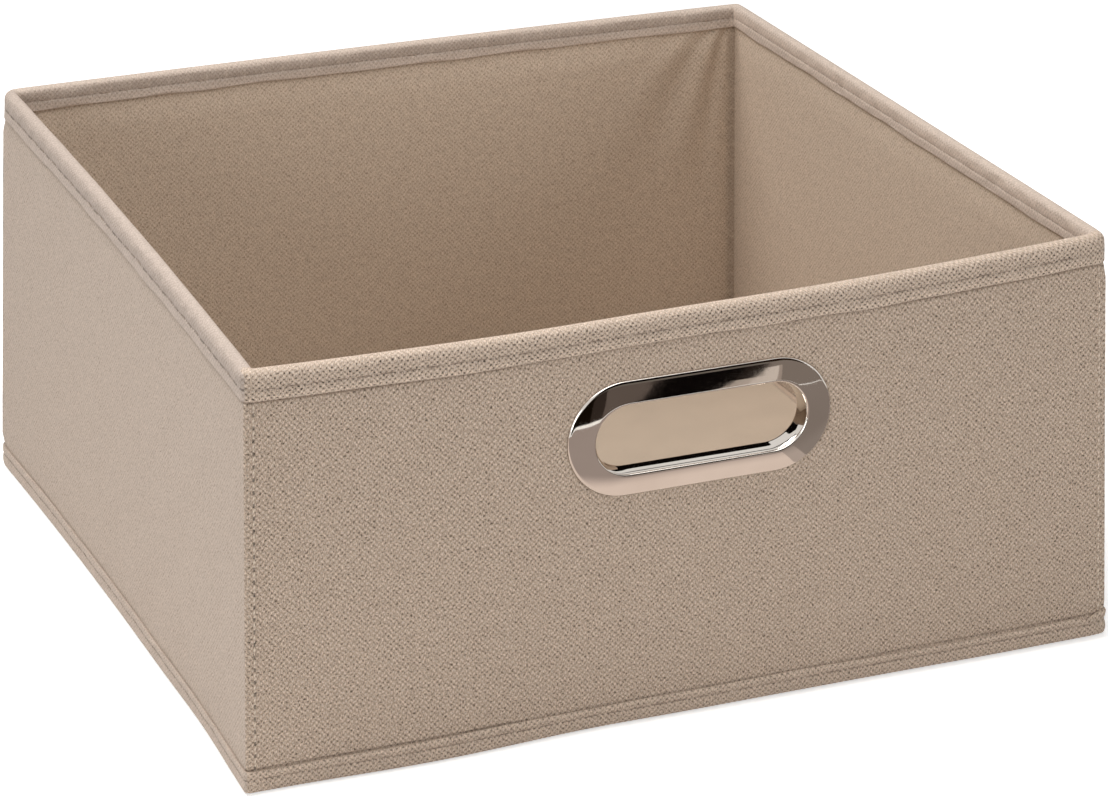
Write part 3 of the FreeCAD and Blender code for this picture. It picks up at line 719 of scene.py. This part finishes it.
def rimRelief(along, wall):
    # the groove of the seam, the puffed cloth above and below it, and slow waves
    t = rimTape
    seam = np.where(onOutside, t["seam"], t["seamInside"])
    calm = smooth(152.0, 145.0, np.abs(along))
    lift = seamRelief(rimUp, along, t, seam, t["groove"][wall]) * isLeg * np.where(onOutside, 1.0, 0.5) * calm
    above = smooth(0.2, 2.2, rimUp - seam) * smooth(150.2, 147.0, rimUp)
    below = smooth(0.2, 0.9, seam - rimUp)
    pulled = 0.75 - 0.25 * np.cos(2 * np.pi * along / stitchPitch)
    lift = lift + t["puff"] * (above + 0.6 * below * pulled) * isLeg * np.where(onOutside, 1.0, 0.4) * calm
    lift = lift + t["wave"][wall] * waves(along, rimAcross + 40 * turns[wall], 5 + turns[wall], 17) * isLeg
    return lift * isSkin


def rimWander(grid):
    # the folded edges wander up and down along the wall, the crown a little less
    along, lane, calm = alongWalls(grid)
    t = rimTape
    lowEdge = smooth(3.2, 0.4, np.where(onOutside, rimUp - t["low"], rimUp - t["lowInside"])) * isOuterBand
    crown = smooth(147, 149.5, rimUp)
    moved = grid.copy()
    moved[..., 2] += t["wander"] * waves(along, lane, 31, 38) * calm * lowEdge
    moved[..., 2] += t["crownWander"] * waves(along, lane, 37, 60) * calm * crown * isOuterBand
    return moved


grid, lengths = carryRound(rimLine, rimTape, rimTape["inside"], rimRelief)
points, faces, uv = closedTube(rimWander(grid), lengths, rimAcross)
seamAt = acrossAt(rimLine, rimParts["outer"], rimTape["seam"])
seamInAt = acrossAt(rimLine, rimParts["inner"], rimTape["seamInside"])
lipAt = acrossAt(rimLine, rimParts["outer"], rimTape["low"] + 1.072)
plain = (acrossAt(rimLine, rimParts["crown"], 152.5, axis=0), 1.5, 1.6)
# front tape: painted shade in the needle holes and over the inner seam's sunk stitches
marks = dashes(seamAt, 0.55, 0.0, 0.2) + dashes(seamInAt, 0.40, 0.14)
marks += shadeBand(seamAt, 1.2, 0.08) + shadeBand(lipAt, 0.9, -0.13)  # painted shade in the sunk seam; the lower fold lighter, a painted highlight along its edge, where the cloth is also smoother
tapeCloth = makeMaterial("EmbossedRimTape", embossedCloth, clothLooks["tape"], marks, plain)
# the other walls' tape: painted shade over the sunk stitches and in the needle holes of both seams, and a
# painted highlight on the lower fold
softRows = dashes(seamAt, 0.62, 0.55) + dashes(seamInAt, 0.40, 0.15) + shadeBand(lipAt, 0.9, -0.05)
softTapes = []
# one copy of the soft tape for each wall, with that wall's painted light and shade
for side, (colour, (part, height), half, dark) in rimTape["paintedWallLight"].items():
    rows = softRows + shadeBand(acrossAt(rimLine, rimParts[part], height), half, dark)
    look = dict(clothLooks["tapeSoft"], base=colour)
    softTapes.append(makeMaterial("EmbossedRimTape" + side, embossedCloth, look, rows, plain))
rim = makePiece("rimBindingTape", points, faces, uv, tapeCloth, "box", "rim_binding", "binding_tape", 70,
                others=(softTapes, wallOf(points, faces)))

footTape = {
    "outside": 155.0, "top": 8.0, "turnIn": 9.0, "fold": 0.45, "edge": 1.3, "seam": 5.0,
    "groove": 0.30, "grooveWidth": 0.40, "puff": 0.22, "wander": 0.35, "wave": 0.12,
    "cornerOutside": dict.fromkeys(turns, 1.6), "cornerInside": dict.fromkeys(turns, 0.4),
    "tuck": [(142.0, 0.0), (146.5, -1.3), (150.0, 0.6), (153.0, 1.7)],  # x, change of the top edge
}


def footSection(t):
    # top fold, outer leg, bottom edge, underside, inner fold, back along the base sheet and wall
    f, o, e = t["fold"], t["outside"], t["edge"]
    inner = o - t["turnIn"] + 0.4
    return np.concatenate([
        arc((o - f, t["top"] - f), f, 180, 0, 8),
        line((o, t["top"] - f), (o, e), 18),
        arc((o - e, e), e, 0, -90, 7),
        line((o - e, 0.0), (inner, 0.0), 5),
        arc((inner, 0.4), 0.4, 270, 90, 6),
        line((inner, 0.8), (154.0, 0.8), 3),
        np.array([[154.1, 0.95]]),
        line((154.15, 1.0), (154.15, t["top"] - 1), 3),
    ])[::-1]


footLine = footSection(footTape)
footUp, footAcross = footLine[:, 1], runLength(footLine)
isFootLeg = footLine[:, 0] > 154.9


def footRelief(along, wall):
    t = footTape
    onLeg = isFootLeg * smooth(7.7, 6.9, footUp) * smooth(0.9, 2.2, footUp)
    lift = seamRelief(footUp, along, t, t["seam"], t["groove"]) * onLeg
    puffed = smooth(0.3, 1.2, footUp - t["seam"]) + smooth(0.3, 1.6, t["seam"] - footUp)
    lift = lift + t["puff"] * puffed * onLeg
    lift = lift + t["wave"] * waves(along, footAcross + 40 * turns[wall], 45 + turns[wall], 19) * onLeg
    if wall == "front":
        # the tuck at the right corner: a crease slants down to the left from the raised end
        crease = along - (146.5 + 0.9 * (footUp - 6.5))
        fold = 0.18 * smooth(0.2, 1.4, crease) * smooth(6.0, 2.6, crease)
        fold = fold - 0.40 * np.exp(-((crease + 0.3) / 0.7) ** 2)
        lift = lift + isFootLeg * smooth(0.5, 2.5, footUp) * fold
    return lift


def footWander(grid):
    # the top edge wanders, and follows the tuck at the right front corner
    along, lane, calm = alongWalls(grid)
    x, y = grid[..., 0], grid[..., 1]
    moved = grid.copy()
    moved[..., 2] += footTape["wander"] * waves(along, lane, 51, 36) * calm * smooth(5.4, 7.4, footUp)
    places, changes = zip(*footTape["tuck"])
    change = np.where(y < -150, np.interp(x, places, changes), np.interp(y, [-154, -150], [changes[-1], 0.0]))
    moved[..., 2] += change * (x > 140) * (y < -149) * smooth(3.5, 7.4, footUp)
    moved[..., 2] = np.maximum(moved[..., 2], 0.0)
    return moved


grid, lengths = carryRound(footLine, footTape, footTape["outside"] - footTape["turnIn"], footRelief)
points, faces, uv = closedTube(footWander(grid), lengths, footAcross)
seamAt = acrossAt(footLine, isFootLeg, footTape["seam"])
lipAt = acrossAt(footLine, isFootLeg, footTape["top"] - 0.8)
# painted shade over the seam's sunk stitches and in its needle holes, darker on the other walls' copy; on the
# front, a painted highlight along the top fold
footCloth = makeMaterial(
    "EmbossedFootTape", embossedCloth, dict(clothLooks["tape"], pitShare=0.72, ridgeShare=0.30),
    dashes(seamAt, 0.40, 0.2, holeShare=0.12) + shadeBand(lipAt, 0.8, -0.08))
softFootCloth = makeMaterial("EmbossedFootTapeSoft", embossedCloth, clothLooks["tapeSoft"],
                             dashes(seamAt, 0.40, 0.45, holeShare=0.12))
foot = makePiece("footBindingTape", points, faces, uv, footCloth, "box", "foot_binding", "binding_tape", 70,
                 others=([softFootCloth], np.minimum(wallOf(points, faces), 1)))
print("tapes made")

# Stitches: short sunk threads with rounded ends, swept over their own centre line.
threadSize = {"radius": 0.28, "sides": 7, "steps": 6, "tip": 0.04}


def stitches(centre, direction, out, length, sink):
    # each stitch: points s from -1 to 1 along direction, sunk by sink s^4 towards its needle
    # holes, with circles of radius r (1 - s^6)^0.5 round that line
    rows, columns, n = threadSize["steps"], threadSize["sides"], len(centre)
    s = np.linspace(-0.985, 0.985, rows)
    angle = np.linspace(0, 2 * np.pi, columns, endpoint=False)
    sideways = np.cross(direction, out)
    spine = (centre[:, None] + direction[:, None] * (s * length / 2)[None, :, None]
             - out[:, None] * (sink * s ** 4)[None, :, None])
    radius = threadSize["radius"] * np.sqrt(1 - s ** 6)
    circle = (np.cos(angle)[None, None, :, None] * sideways[:, None, None]
              + np.sin(angle)[None, None, :, None] * out[:, None, None])
    points = spine[:, :, None] + circle * radius[None, :, None, None]
    tip = direction * threadSize["tip"]
    tips = np.stack([spine[:, 0] - tip, spine[:, -1] + tip], 1)
    each = rows * columns + 2
    loop = np.arange(columns)
    following, end = np.roll(loop, -1), (rows - 1) * columns
    first = np.stack([np.full(columns, each - 2), following, loop], -1)
    last = np.stack([np.full(columns, each - 1), loop + end, following + end], -1)
    shift = (np.arange(n) * each)[:, None, None]
    quads = (gridFaces(rows, columns, closeColumns=True)[None] + shift).reshape(-1, 4)
    tris = (np.concatenate([first, last])[None] + shift).reshape(-1, 3)
    u = np.concatenate([np.repeat(s * length / 2, columns), [-length / 2, length / 2]])
    v = np.concatenate([np.tile(angle * threadSize["radius"], rows), [0, 0]])
    uv = np.tile(np.stack([u, v], -1), (n, 1))
    return np.concatenate([points.reshape(n, -1, 3), tips], 1).reshape(-1, 3), quads, tris, uv


def seamPiece(name, rows, replaced, material=seamThreadShaded):
    # each row holds what stitches takes; all rows become one mesh
    points, faces, uvs, start = [], [], [], 0
    for row in rows:
        p, quads, tris, uv = stitches(*row)
        points.append(p)
        uvs.append(uv)
        faces += (quads + start).tolist() + (tris + start).tolist()
        start += len(p)
    points, uvs = np.concatenate(points), np.concatenate(uvs)
    makePiece(name, points, faces, uvs, material, "box", replaced, "thread", 180)


def halfPlaces(places, pitch):
    # moved to the nearest half pitch beyond a multiple of it, between two needle holes
    return (np.round(places / pitch - 0.5) + 0.5) * pitch


def lyingRow(wall, out, up, facing, reach=150.0, length=6.7):
    # one row along a wall; facing is 1 outside, -1 inside
    alongs = halfPlaces(np.arange(-reach + 0.5 * stitchPitch, reach, stitchPitch), stitchPitch)
    alongs = alongs[np.abs(alongs) < reach - 2.5]
    jitter = 0.12 * waves(alongs, alongs * 0, 61 + turns[wall], 11)
    none, turn = 0 * alongs, turns[wall]
    return (onWall(alongs, none + out, up + jitter, turn), onWall(none + 1, none, 0.02 * jitter, turn),
            onWall(none, none + facing, none, turn), length, 0.35)


def uprightRow(wall, side):
    # one row beside a corner of the front or back wall
    w = wallParts
    ups = halfPlaces(np.arange(w["tapeFoot"] + 3.0, w["tapeRim"] - 1, cornerPitch), cornerPitch)
    none, turn = 0 * ups, turns[wall]
    alongs = none + side * (w["coverOut"] - w["seamInset"])
    outs = w["coverOut"] + coverRelief(alongs, ups, wall)
    return (onWall(alongs, outs + 0.16, ups, turn), onWall(none, none, none + 1, turn),
            onWall(none, none + 1, none, turn), cornerPitch * 0.86, 0.30)


t = rimTape
rimRows = [lyingRow(wall, t["outside"] - t["groove"][wall] - 0.05 * (wall == "front"), t["seam"], 1)
           for wall in turns]
rimRows += [lyingRow(wall, t["inside"] + 0.42, t["seamInside"], -1, reach=148.0) for wall in turns]
seamPiece("rimSeamThread", rimRows, "rim_stitching")
footRows = [lyingRow(wall, footTape["outside"] - 0.34, footTape["seam"], 1, length=6.9) for wall in turns]
seamPiece("footSeamThread", footRows, "foot_stitching")
cornerRows = [uprightRow(wall, side) for wall in ("front", "back") for side in (-1, 1)]
seamPiece("cornerSeamThread", cornerRows, "corner_stitching", cornerThreadLit)
print("stitches made")

# Base: the felt floor sewn under the walls, which hangs lower in its middle with slack ripples,
# and the loose panel in its sleeve.
floor = {"half": 154.0, "low": 0.8, "high": 1.35, "sag": 0.45, "ripple": 0.12}
steps = fineEdges(floor["half"], 5.0, fine=0.5, reach=4.0)
plan, quads = rectanglePlan(steps, steps)
x, y = plan[:, 0], plan[:, 1]
sag = floor["sag"] + floor["ripple"] * waves(x, y, 71, 70)
sag = sag * smooth(150, 125, np.maximum(np.abs(x), np.abs(y)))
layers = [np.stack([x, y, floor[k] - sag], -1) for k in ("high", "low")]
base = makePiece("baseCloth", *closedSheet(plan, quads, *layers), baseFelt, "box", "base_sheet",
                 "base_fabric")

sleeve = {"half": 148.5, "board": 147.0, "low": 1.4, "high": 4.6, "cloth": 0.5, "ripple": 0.10}


def sleeveSkin(inset):
    # a pillow-like skin: upper and lower face over (x, y), which come together in the seam margin
    # beyond the board by (distance to the edge / margin) to the power 0.6
    s = sleeve
    half = s["half"] - inset
    steps = fineEdges(half, 4.0, fine=0.3, reach=3.0)
    plan, quads = rectanglePlan(steps, steps)
    x, y = plan[:, 0], plan[:, 1]
    edge = half - np.maximum(np.abs(x), np.abs(y))
    middle = (s["low"] + s["high"]) / 2
    margin = s["half"] - s["board"] + 0.8
    rise = ((s["high"] - s["low"]) / 2 - inset) * np.sqrt(np.clip(edge / margin, 0, 1)) ** 1.2
    ripple = s["ripple"] * waves(x, y, 83, 40) * smooth(2, 12, edge) * (inset == 0)
    top = np.stack([x, y, middle + rise + np.minimum(ripple, 0)], -1)
    return closedSheet(plan, quads, top, np.stack([x, y, middle - rise], -1))


outer, inner = sleeveSkin(0.0), sleeveSkin(sleeve["cloth"])
points = np.concatenate([outer[0], inner[0]])
faces = np.concatenate([outer[1], inner[1][:, ::-1] + len(outer[0])])
uv = np.concatenate([outer[2], inner[2]])
panel = makePiece("basePanelSleeve", points, faces, uv, panelFelt, "base_panel", "base_panel_sleeve",
                  "panel_fabric", 60, settled=False)
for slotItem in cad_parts["base_panel_board"].material_slots:
    slotItem.material = greyBoard
print("base made")

# Grip: pressed and plated rings, a cross-section carried round the finger hole's stadium.
gripRing = {
    "throat": 11.7, "outer": 20.5, "straights": ((11.7, 20.5), (25.7, 27.1)),
    "cover": 154.2, "crest": 156.55, "lipIn": 1.15, "lipDeep": 4.0, "slopes": (7.0, 15.0), "bevel": 1.25,
    "behind": 149.0, "wall": 1.2, "sideSteps": 30, "endSteps": 44,
}
washer = {
    "inner": 13.0, "outer": 19.0, "straights": ((13.0, 19.0), (25.7, 25.7)),
    "low": 149.6, "high": 150.8, "edge": 0.45,
}


def ringPiece(name, section, straights, replaced):
    # section is (radius, out); along the path a point goes over each straight and round each end;
    # straights gives half a straight's length at two radii
    radius, out = section[:, 0], section[:, 1]
    straights = np.interp(radius, *straights)
    share = np.linspace(-1, 1, gripRing["sideSteps"] + 1)[:-1][:, None]
    angle = np.linspace(-90, 90, gripRing["endSteps"] + 1)[:-1][:, None] * math.pi / 180
    half = [(share * straights, -radius + 0 * share),
            (straights + radius * np.cos(angle), radius * np.sin(angle))]
    blocks = half + [(-x, -z) for x, z in half]
    x = np.concatenate([block[0] for block in blocks]) + gripPlace["x"]
    z = np.concatenate([block[1] for block in blocks]) + gripPlace["z"]
    grid = np.stack([x, -np.broadcast_to(out, x.shape), z], -1)
    rows, columns = grid.shape[:2]
    faces = gridFaces(rows, columns, closeRows=True, closeColumns=True)
    lengths = np.broadcast_arrays(np.arange(rows)[:, None] * 1.5, runLength(section)[None])
    makePiece(name, grid.reshape(-1, 3), faces, np.stack(lengths, -1).reshape(-1, 2), nickel, "box", replaced,
              "chrome", 60, settled=False)


def ringSection(g):
    # from behind the wall up the sleeve, over a lip that is a quarter ellipse, down the flange on a wide
    # arc from the first slope to the second, round its outer bevel to the cover, back under the
    # flange, and in along the sleeve to its rolled end
    t, o, c, r = g["throat"], g["outer"], g["cover"], g["bevel"]
    first, second = (math.radians(a) for a in g["slopes"])
    start = math.atan2(g["lipDeep"], g["lipIn"] * math.tan(first))
    turn = np.linspace(math.pi, start, 20)[:, None]
    lip = np.hstack([t + g["lipIn"] + g["lipIn"] * np.cos(turn),
                     g["crest"] - g["lipDeep"] + g["lipDeep"] * np.sin(turn)])
    shoulder = o - r * (1 - math.sin(second))
    wide = (shoulder - lip[-1, 0]) / (math.sin(second) - math.sin(first))
    tilt = np.linspace(first, second, 12)[1:, None]
    flange = lip[-1] + wide * np.hstack([np.sin(tilt) - math.sin(first), np.cos(tilt) - math.cos(first)])
    middle = flange[-1, 1] - r * math.cos(second)
    back = t + g["wall"]
    return np.concatenate([
        line((t, g["behind"] + 0.5), (t, g["crest"] - g["lipDeep"]), 6), lip, flange,
        arc((o - r, middle), r, 90 - g["slopes"][1], 0, 10)[1:],
        np.array([[o - 0.3, c - 0.25], [back + 1.0, c - 0.25], [back, c - 0.5]]),
        line((back, c - 0.6), (back, 149.75), 4),
        np.array([[back + 0.05, 149.6], [back + 0.6, 149.58]]),
        arc((back + 0.6, 149.29), 0.29, 80, -90, 6),
        np.array([[back, g["behind"]]]),
        arc((t + 0.5, g["behind"] + 0.5), 0.5, 270, 190, 5),
    ])


def washerSection(g):
    # a flat band with its four edges rounded
    e = g["edge"]
    near, far, low, high = g["inner"] + e, g["outer"] - e, g["low"] + e, g["high"] - e
    corners = ((near, high, 180), (far, high, 90), (far, low, 0), (near, low, 270))
    return np.concatenate([arc((radius, out), e, start, start - 90, 5) for radius, out, start in corners])


ringPiece("gripRing", ringSection(gripRing), gripRing["straights"], "handle_ring")
ringPiece("gripBackingRing", washerSection(washer), washer["straights"], "handle_backing_ring")
print("grip made")

# Studio: a pale table, a white surround, a soft lamp close above, one high behind on the left and
# two low ones at the sides. The cards are what the bright metal mirrors: a dim mat on the table,
# dark and light strips standing beyond it, and dark ones behind and above the box. In metres.
studio = {
    "tableHalf": 6.0, "tableAt": -0.0004, "tableGlow": 0.55, "ambient": 0.015, "aim": (0.0, 0.0, 0.06),
    "lamps": {  # place, size, power
        "softOver": ((-0.1, -0.1, 0.75), 0.7, 4.8),
        "softBack": ((-0.9, 0.5, 1.8), 1.0, 20.5),
        "softLeft": ((-1.7, -1.3, 0.55), 1.0, 10.3),
        "softRight": ((1.3, -1.4, 0.8), 1.0, 12.4),
    },
    "mats": [  # x from, x to, colour near the box, colour far from it
        (-0.70, 0.100, "#ffede2", "#b4a6a0"), (0.100, 0.120, "#cdbfb7", "#a59a94"),
        (0.120, 0.70, "#a0958f", "#978c86"),
    ],
    "matReach": (-0.157, -0.585), "matFade": (-0.290, -0.240), "matAt": 0.0006,
    "cards": {  # y at the foot and lean: x from, x to, z from, z to, colour
        (-0.60, 0.2): [
            (-0.45, 0.000, 0.010, 0.170, "#171009"), (0.000, 0.050, 0.010, 0.170, "#3a312c"),
            (0.050, 0.148, 0.010, 0.170, "#6e635d"), (0.148, 0.190, 0.010, 0.170, "#0c0908"),
            (0.190, 0.200, 0.010, 0.090, "#cbbfb6"), (0.190, 0.200, 0.090, 0.170, "#2a231f"),
            (0.200, 0.221, 0.010, 0.140, "#e9ded5"), (0.221, 0.238, 0.0, 0.140, "#b5a79e"),
            (0.238, 0.560, 0.0, 0.190, "#90857e"), (0.200, 0.238, 0.140, 0.190, "#90857e"),
            (-0.12, 0.200, 0.170, 0.215, "#7c756f"), (-0.12, 0.200, 0.215, 0.750, "#0c0908"),
            (0.200, 0.560, 0.190, 0.750, "#2a1c14"), (0.560, 0.680, 0.0, 0.750, "#4a2f22"),
        ],
        (0.90, 0.0): [(-0.90, 1.50, 0.0, 0.660, "#0c0908")],
        (0.50, 0.0): [(-0.90, 1.50, 0.830, 0.980, "#0c0908")],
    },
}


def placeObject(name, data, right, up, back, place):
    # looks along -back, as lamps and cameras do
    turn = np.eye(4)
    turn[:3, :3] = np.stack([right, up, back], -1)
    turn[:3, 3] = place
    made = newObject(name, data)
    made.matrix_world = Matrix(turn.tolist())
    return made


def seenDirectly(add):
    # 1 for rays from the camera, off a mirror or through glass, 0 for light that falls on things
    path = add("LightPath")
    seen = path.outputs["Is Camera Ray"]
    for kind in ("Is Glossy Ray", "Is Transmission Ray"):
        seen = add("Math MAXIMUM", seen, path.outputs[kind])
    return seen


def flatQuad(name, corners, material):
    mesh = bpy.data.meshes.new(name)
    mesh.from_pydata(corners, [], [(0, 1, 2, 3)])
    mesh.materials.append(material)
    return newObject(name, mesh)


def cardGlow(add, near, far, fade):
    # the colour goes from far to near between two values of y
    place = add("SeparateXYZ", add("TexCoord").outputs["Object"])
    share = add("MapRange SMOOTHSTEP", place.outputs["Y"], *fade)
    return add("Emission", add("Mix RGBA", share, far, near))


def card(name, corners, near, far, fade=(0.0, 1.0)):
    # a flat sheet that only mirrors see
    sheet = flatQuad(name, corners, makeMaterial(name, cardGlow, near, far, fade))
    for kind in ("camera", "diffuse", "transmission", "shadow", "volume_scatter"):
        setattr(sheet, "visible_" + kind, False)
    return sheet


for name, (place, size, power) in studio["lamps"].items():
    lamp = bpy.data.lights.new(name, "AREA")
    lamp.shape, lamp.size, lamp.energy = "SQUARE", size, power
    back = np.array(place) - np.array(studio["aim"])
    back /= np.linalg.norm(back)
    right = np.cross((0, 0, 1), back)
    right /= np.linalg.norm(right)
    placeObject(name, lamp, right, np.cross(back, right), back, place)

world = bpy.data.worlds.new("studioSurround")
bpy.context.scene.world = world
add = emptied(world)
strength = add("MapRange", seenDirectly(add), 0.0, 1.0, studio["ambient"], 1.0)
add("OutputWorld", add("Background", (1, 1, 1, 1), strength))


def mattLaminate(add):
    # matt white laminate, seen as plain white with a faint shadow
    grain = add("TexNoise", add("TexCoord").outputs["Object"], 40.0)
    tone = add("Mix RGBA", grain, "#f2f1ef", "#f6f5f3")
    glow = add("Math MULTIPLY", seenDirectly(add), studio["tableGlow"])
    return add("AddShader", add("BsdfDiffuse", tone), add("Emission", (1, 1, 1, 1), glow))


tableCorners = [(sideX * studio["tableHalf"], sideY * studio["tableHalf"], studio["tableAt"])
                for sideX, sideY in ((-1, -1), (1, -1), (1, 1), (-1, 1))]
table = flatQuad("studioTable", tableCorners, makeMaterial("MattWhiteTable", mattLaminate))

near, far = studio["matReach"]
for k, (left, right, nearColour, farColour) in enumerate(studio["mats"]):
    corners = [(x, y, studio["matAt"]) for x, y in ((left, far), (right, far), (right, near), (left, near))]
    card("studioMat%d" % k, corners, nearColour, farColour, studio["matFade"])
sheets = [(foot, lean, *row) for (foot, lean), rows in studio["cards"].items() for row in rows]
for k, (foot, lean, left, right, low, high, colour) in enumerate(sheets):
    corners = [(x, foot + lean * z, z) for x, z in ((left, low), (right, low), (right, high), (left, high))]
    card("studioCard%d" % k, corners, colour, colour)

# Camera: its place and turn were fitted to the box's edges in a 1108 by 796 picture.
shot = {
    "yaw": 21.678, "pitch": 22.046, "roll": -0.4175, "distance": 1587.4, "focal": 4326.1,
    "aim": (11.36, 0.0, 57.6), "width": 1108, "sensor": 36.0,
}


def placeCamera(c):
    # forward = (sin yaw cos pitch, cos yaw cos pitch, -sin pitch), then rolled about itself
    yaw, pitch, roll = (math.radians(c[k]) for k in ("yaw", "pitch", "roll"))
    forward = np.array([math.sin(yaw) * math.cos(pitch), math.cos(yaw) * math.cos(pitch), -math.sin(pitch)])
    flat = np.array([math.cos(yaw), -math.sin(yaw), 0.0])
    upward = np.cross(flat, forward)
    right = math.cos(roll) * flat + math.sin(roll) * upward
    up = -math.sin(roll) * flat + math.cos(roll) * upward
    lens = bpy.data.cameras.new("shotCamera")
    lens.sensor_fit, lens.sensor_width = "HORIZONTAL", c["sensor"]
    lens.lens = c["focal"] / c["width"] * c["sensor"]
    lens.clip_start, lens.clip_end = 0.05, 60.0
    place = (np.array(c["aim"]) - forward * c["distance"]) / 1000
    bpy.context.scene.camera = placeObject("shotCamera", lens, right, up, -forward, place)


placeCamera(shot)
bpy.context.scene.view_settings.view_transform = "Standard"

print("studio and camera set")
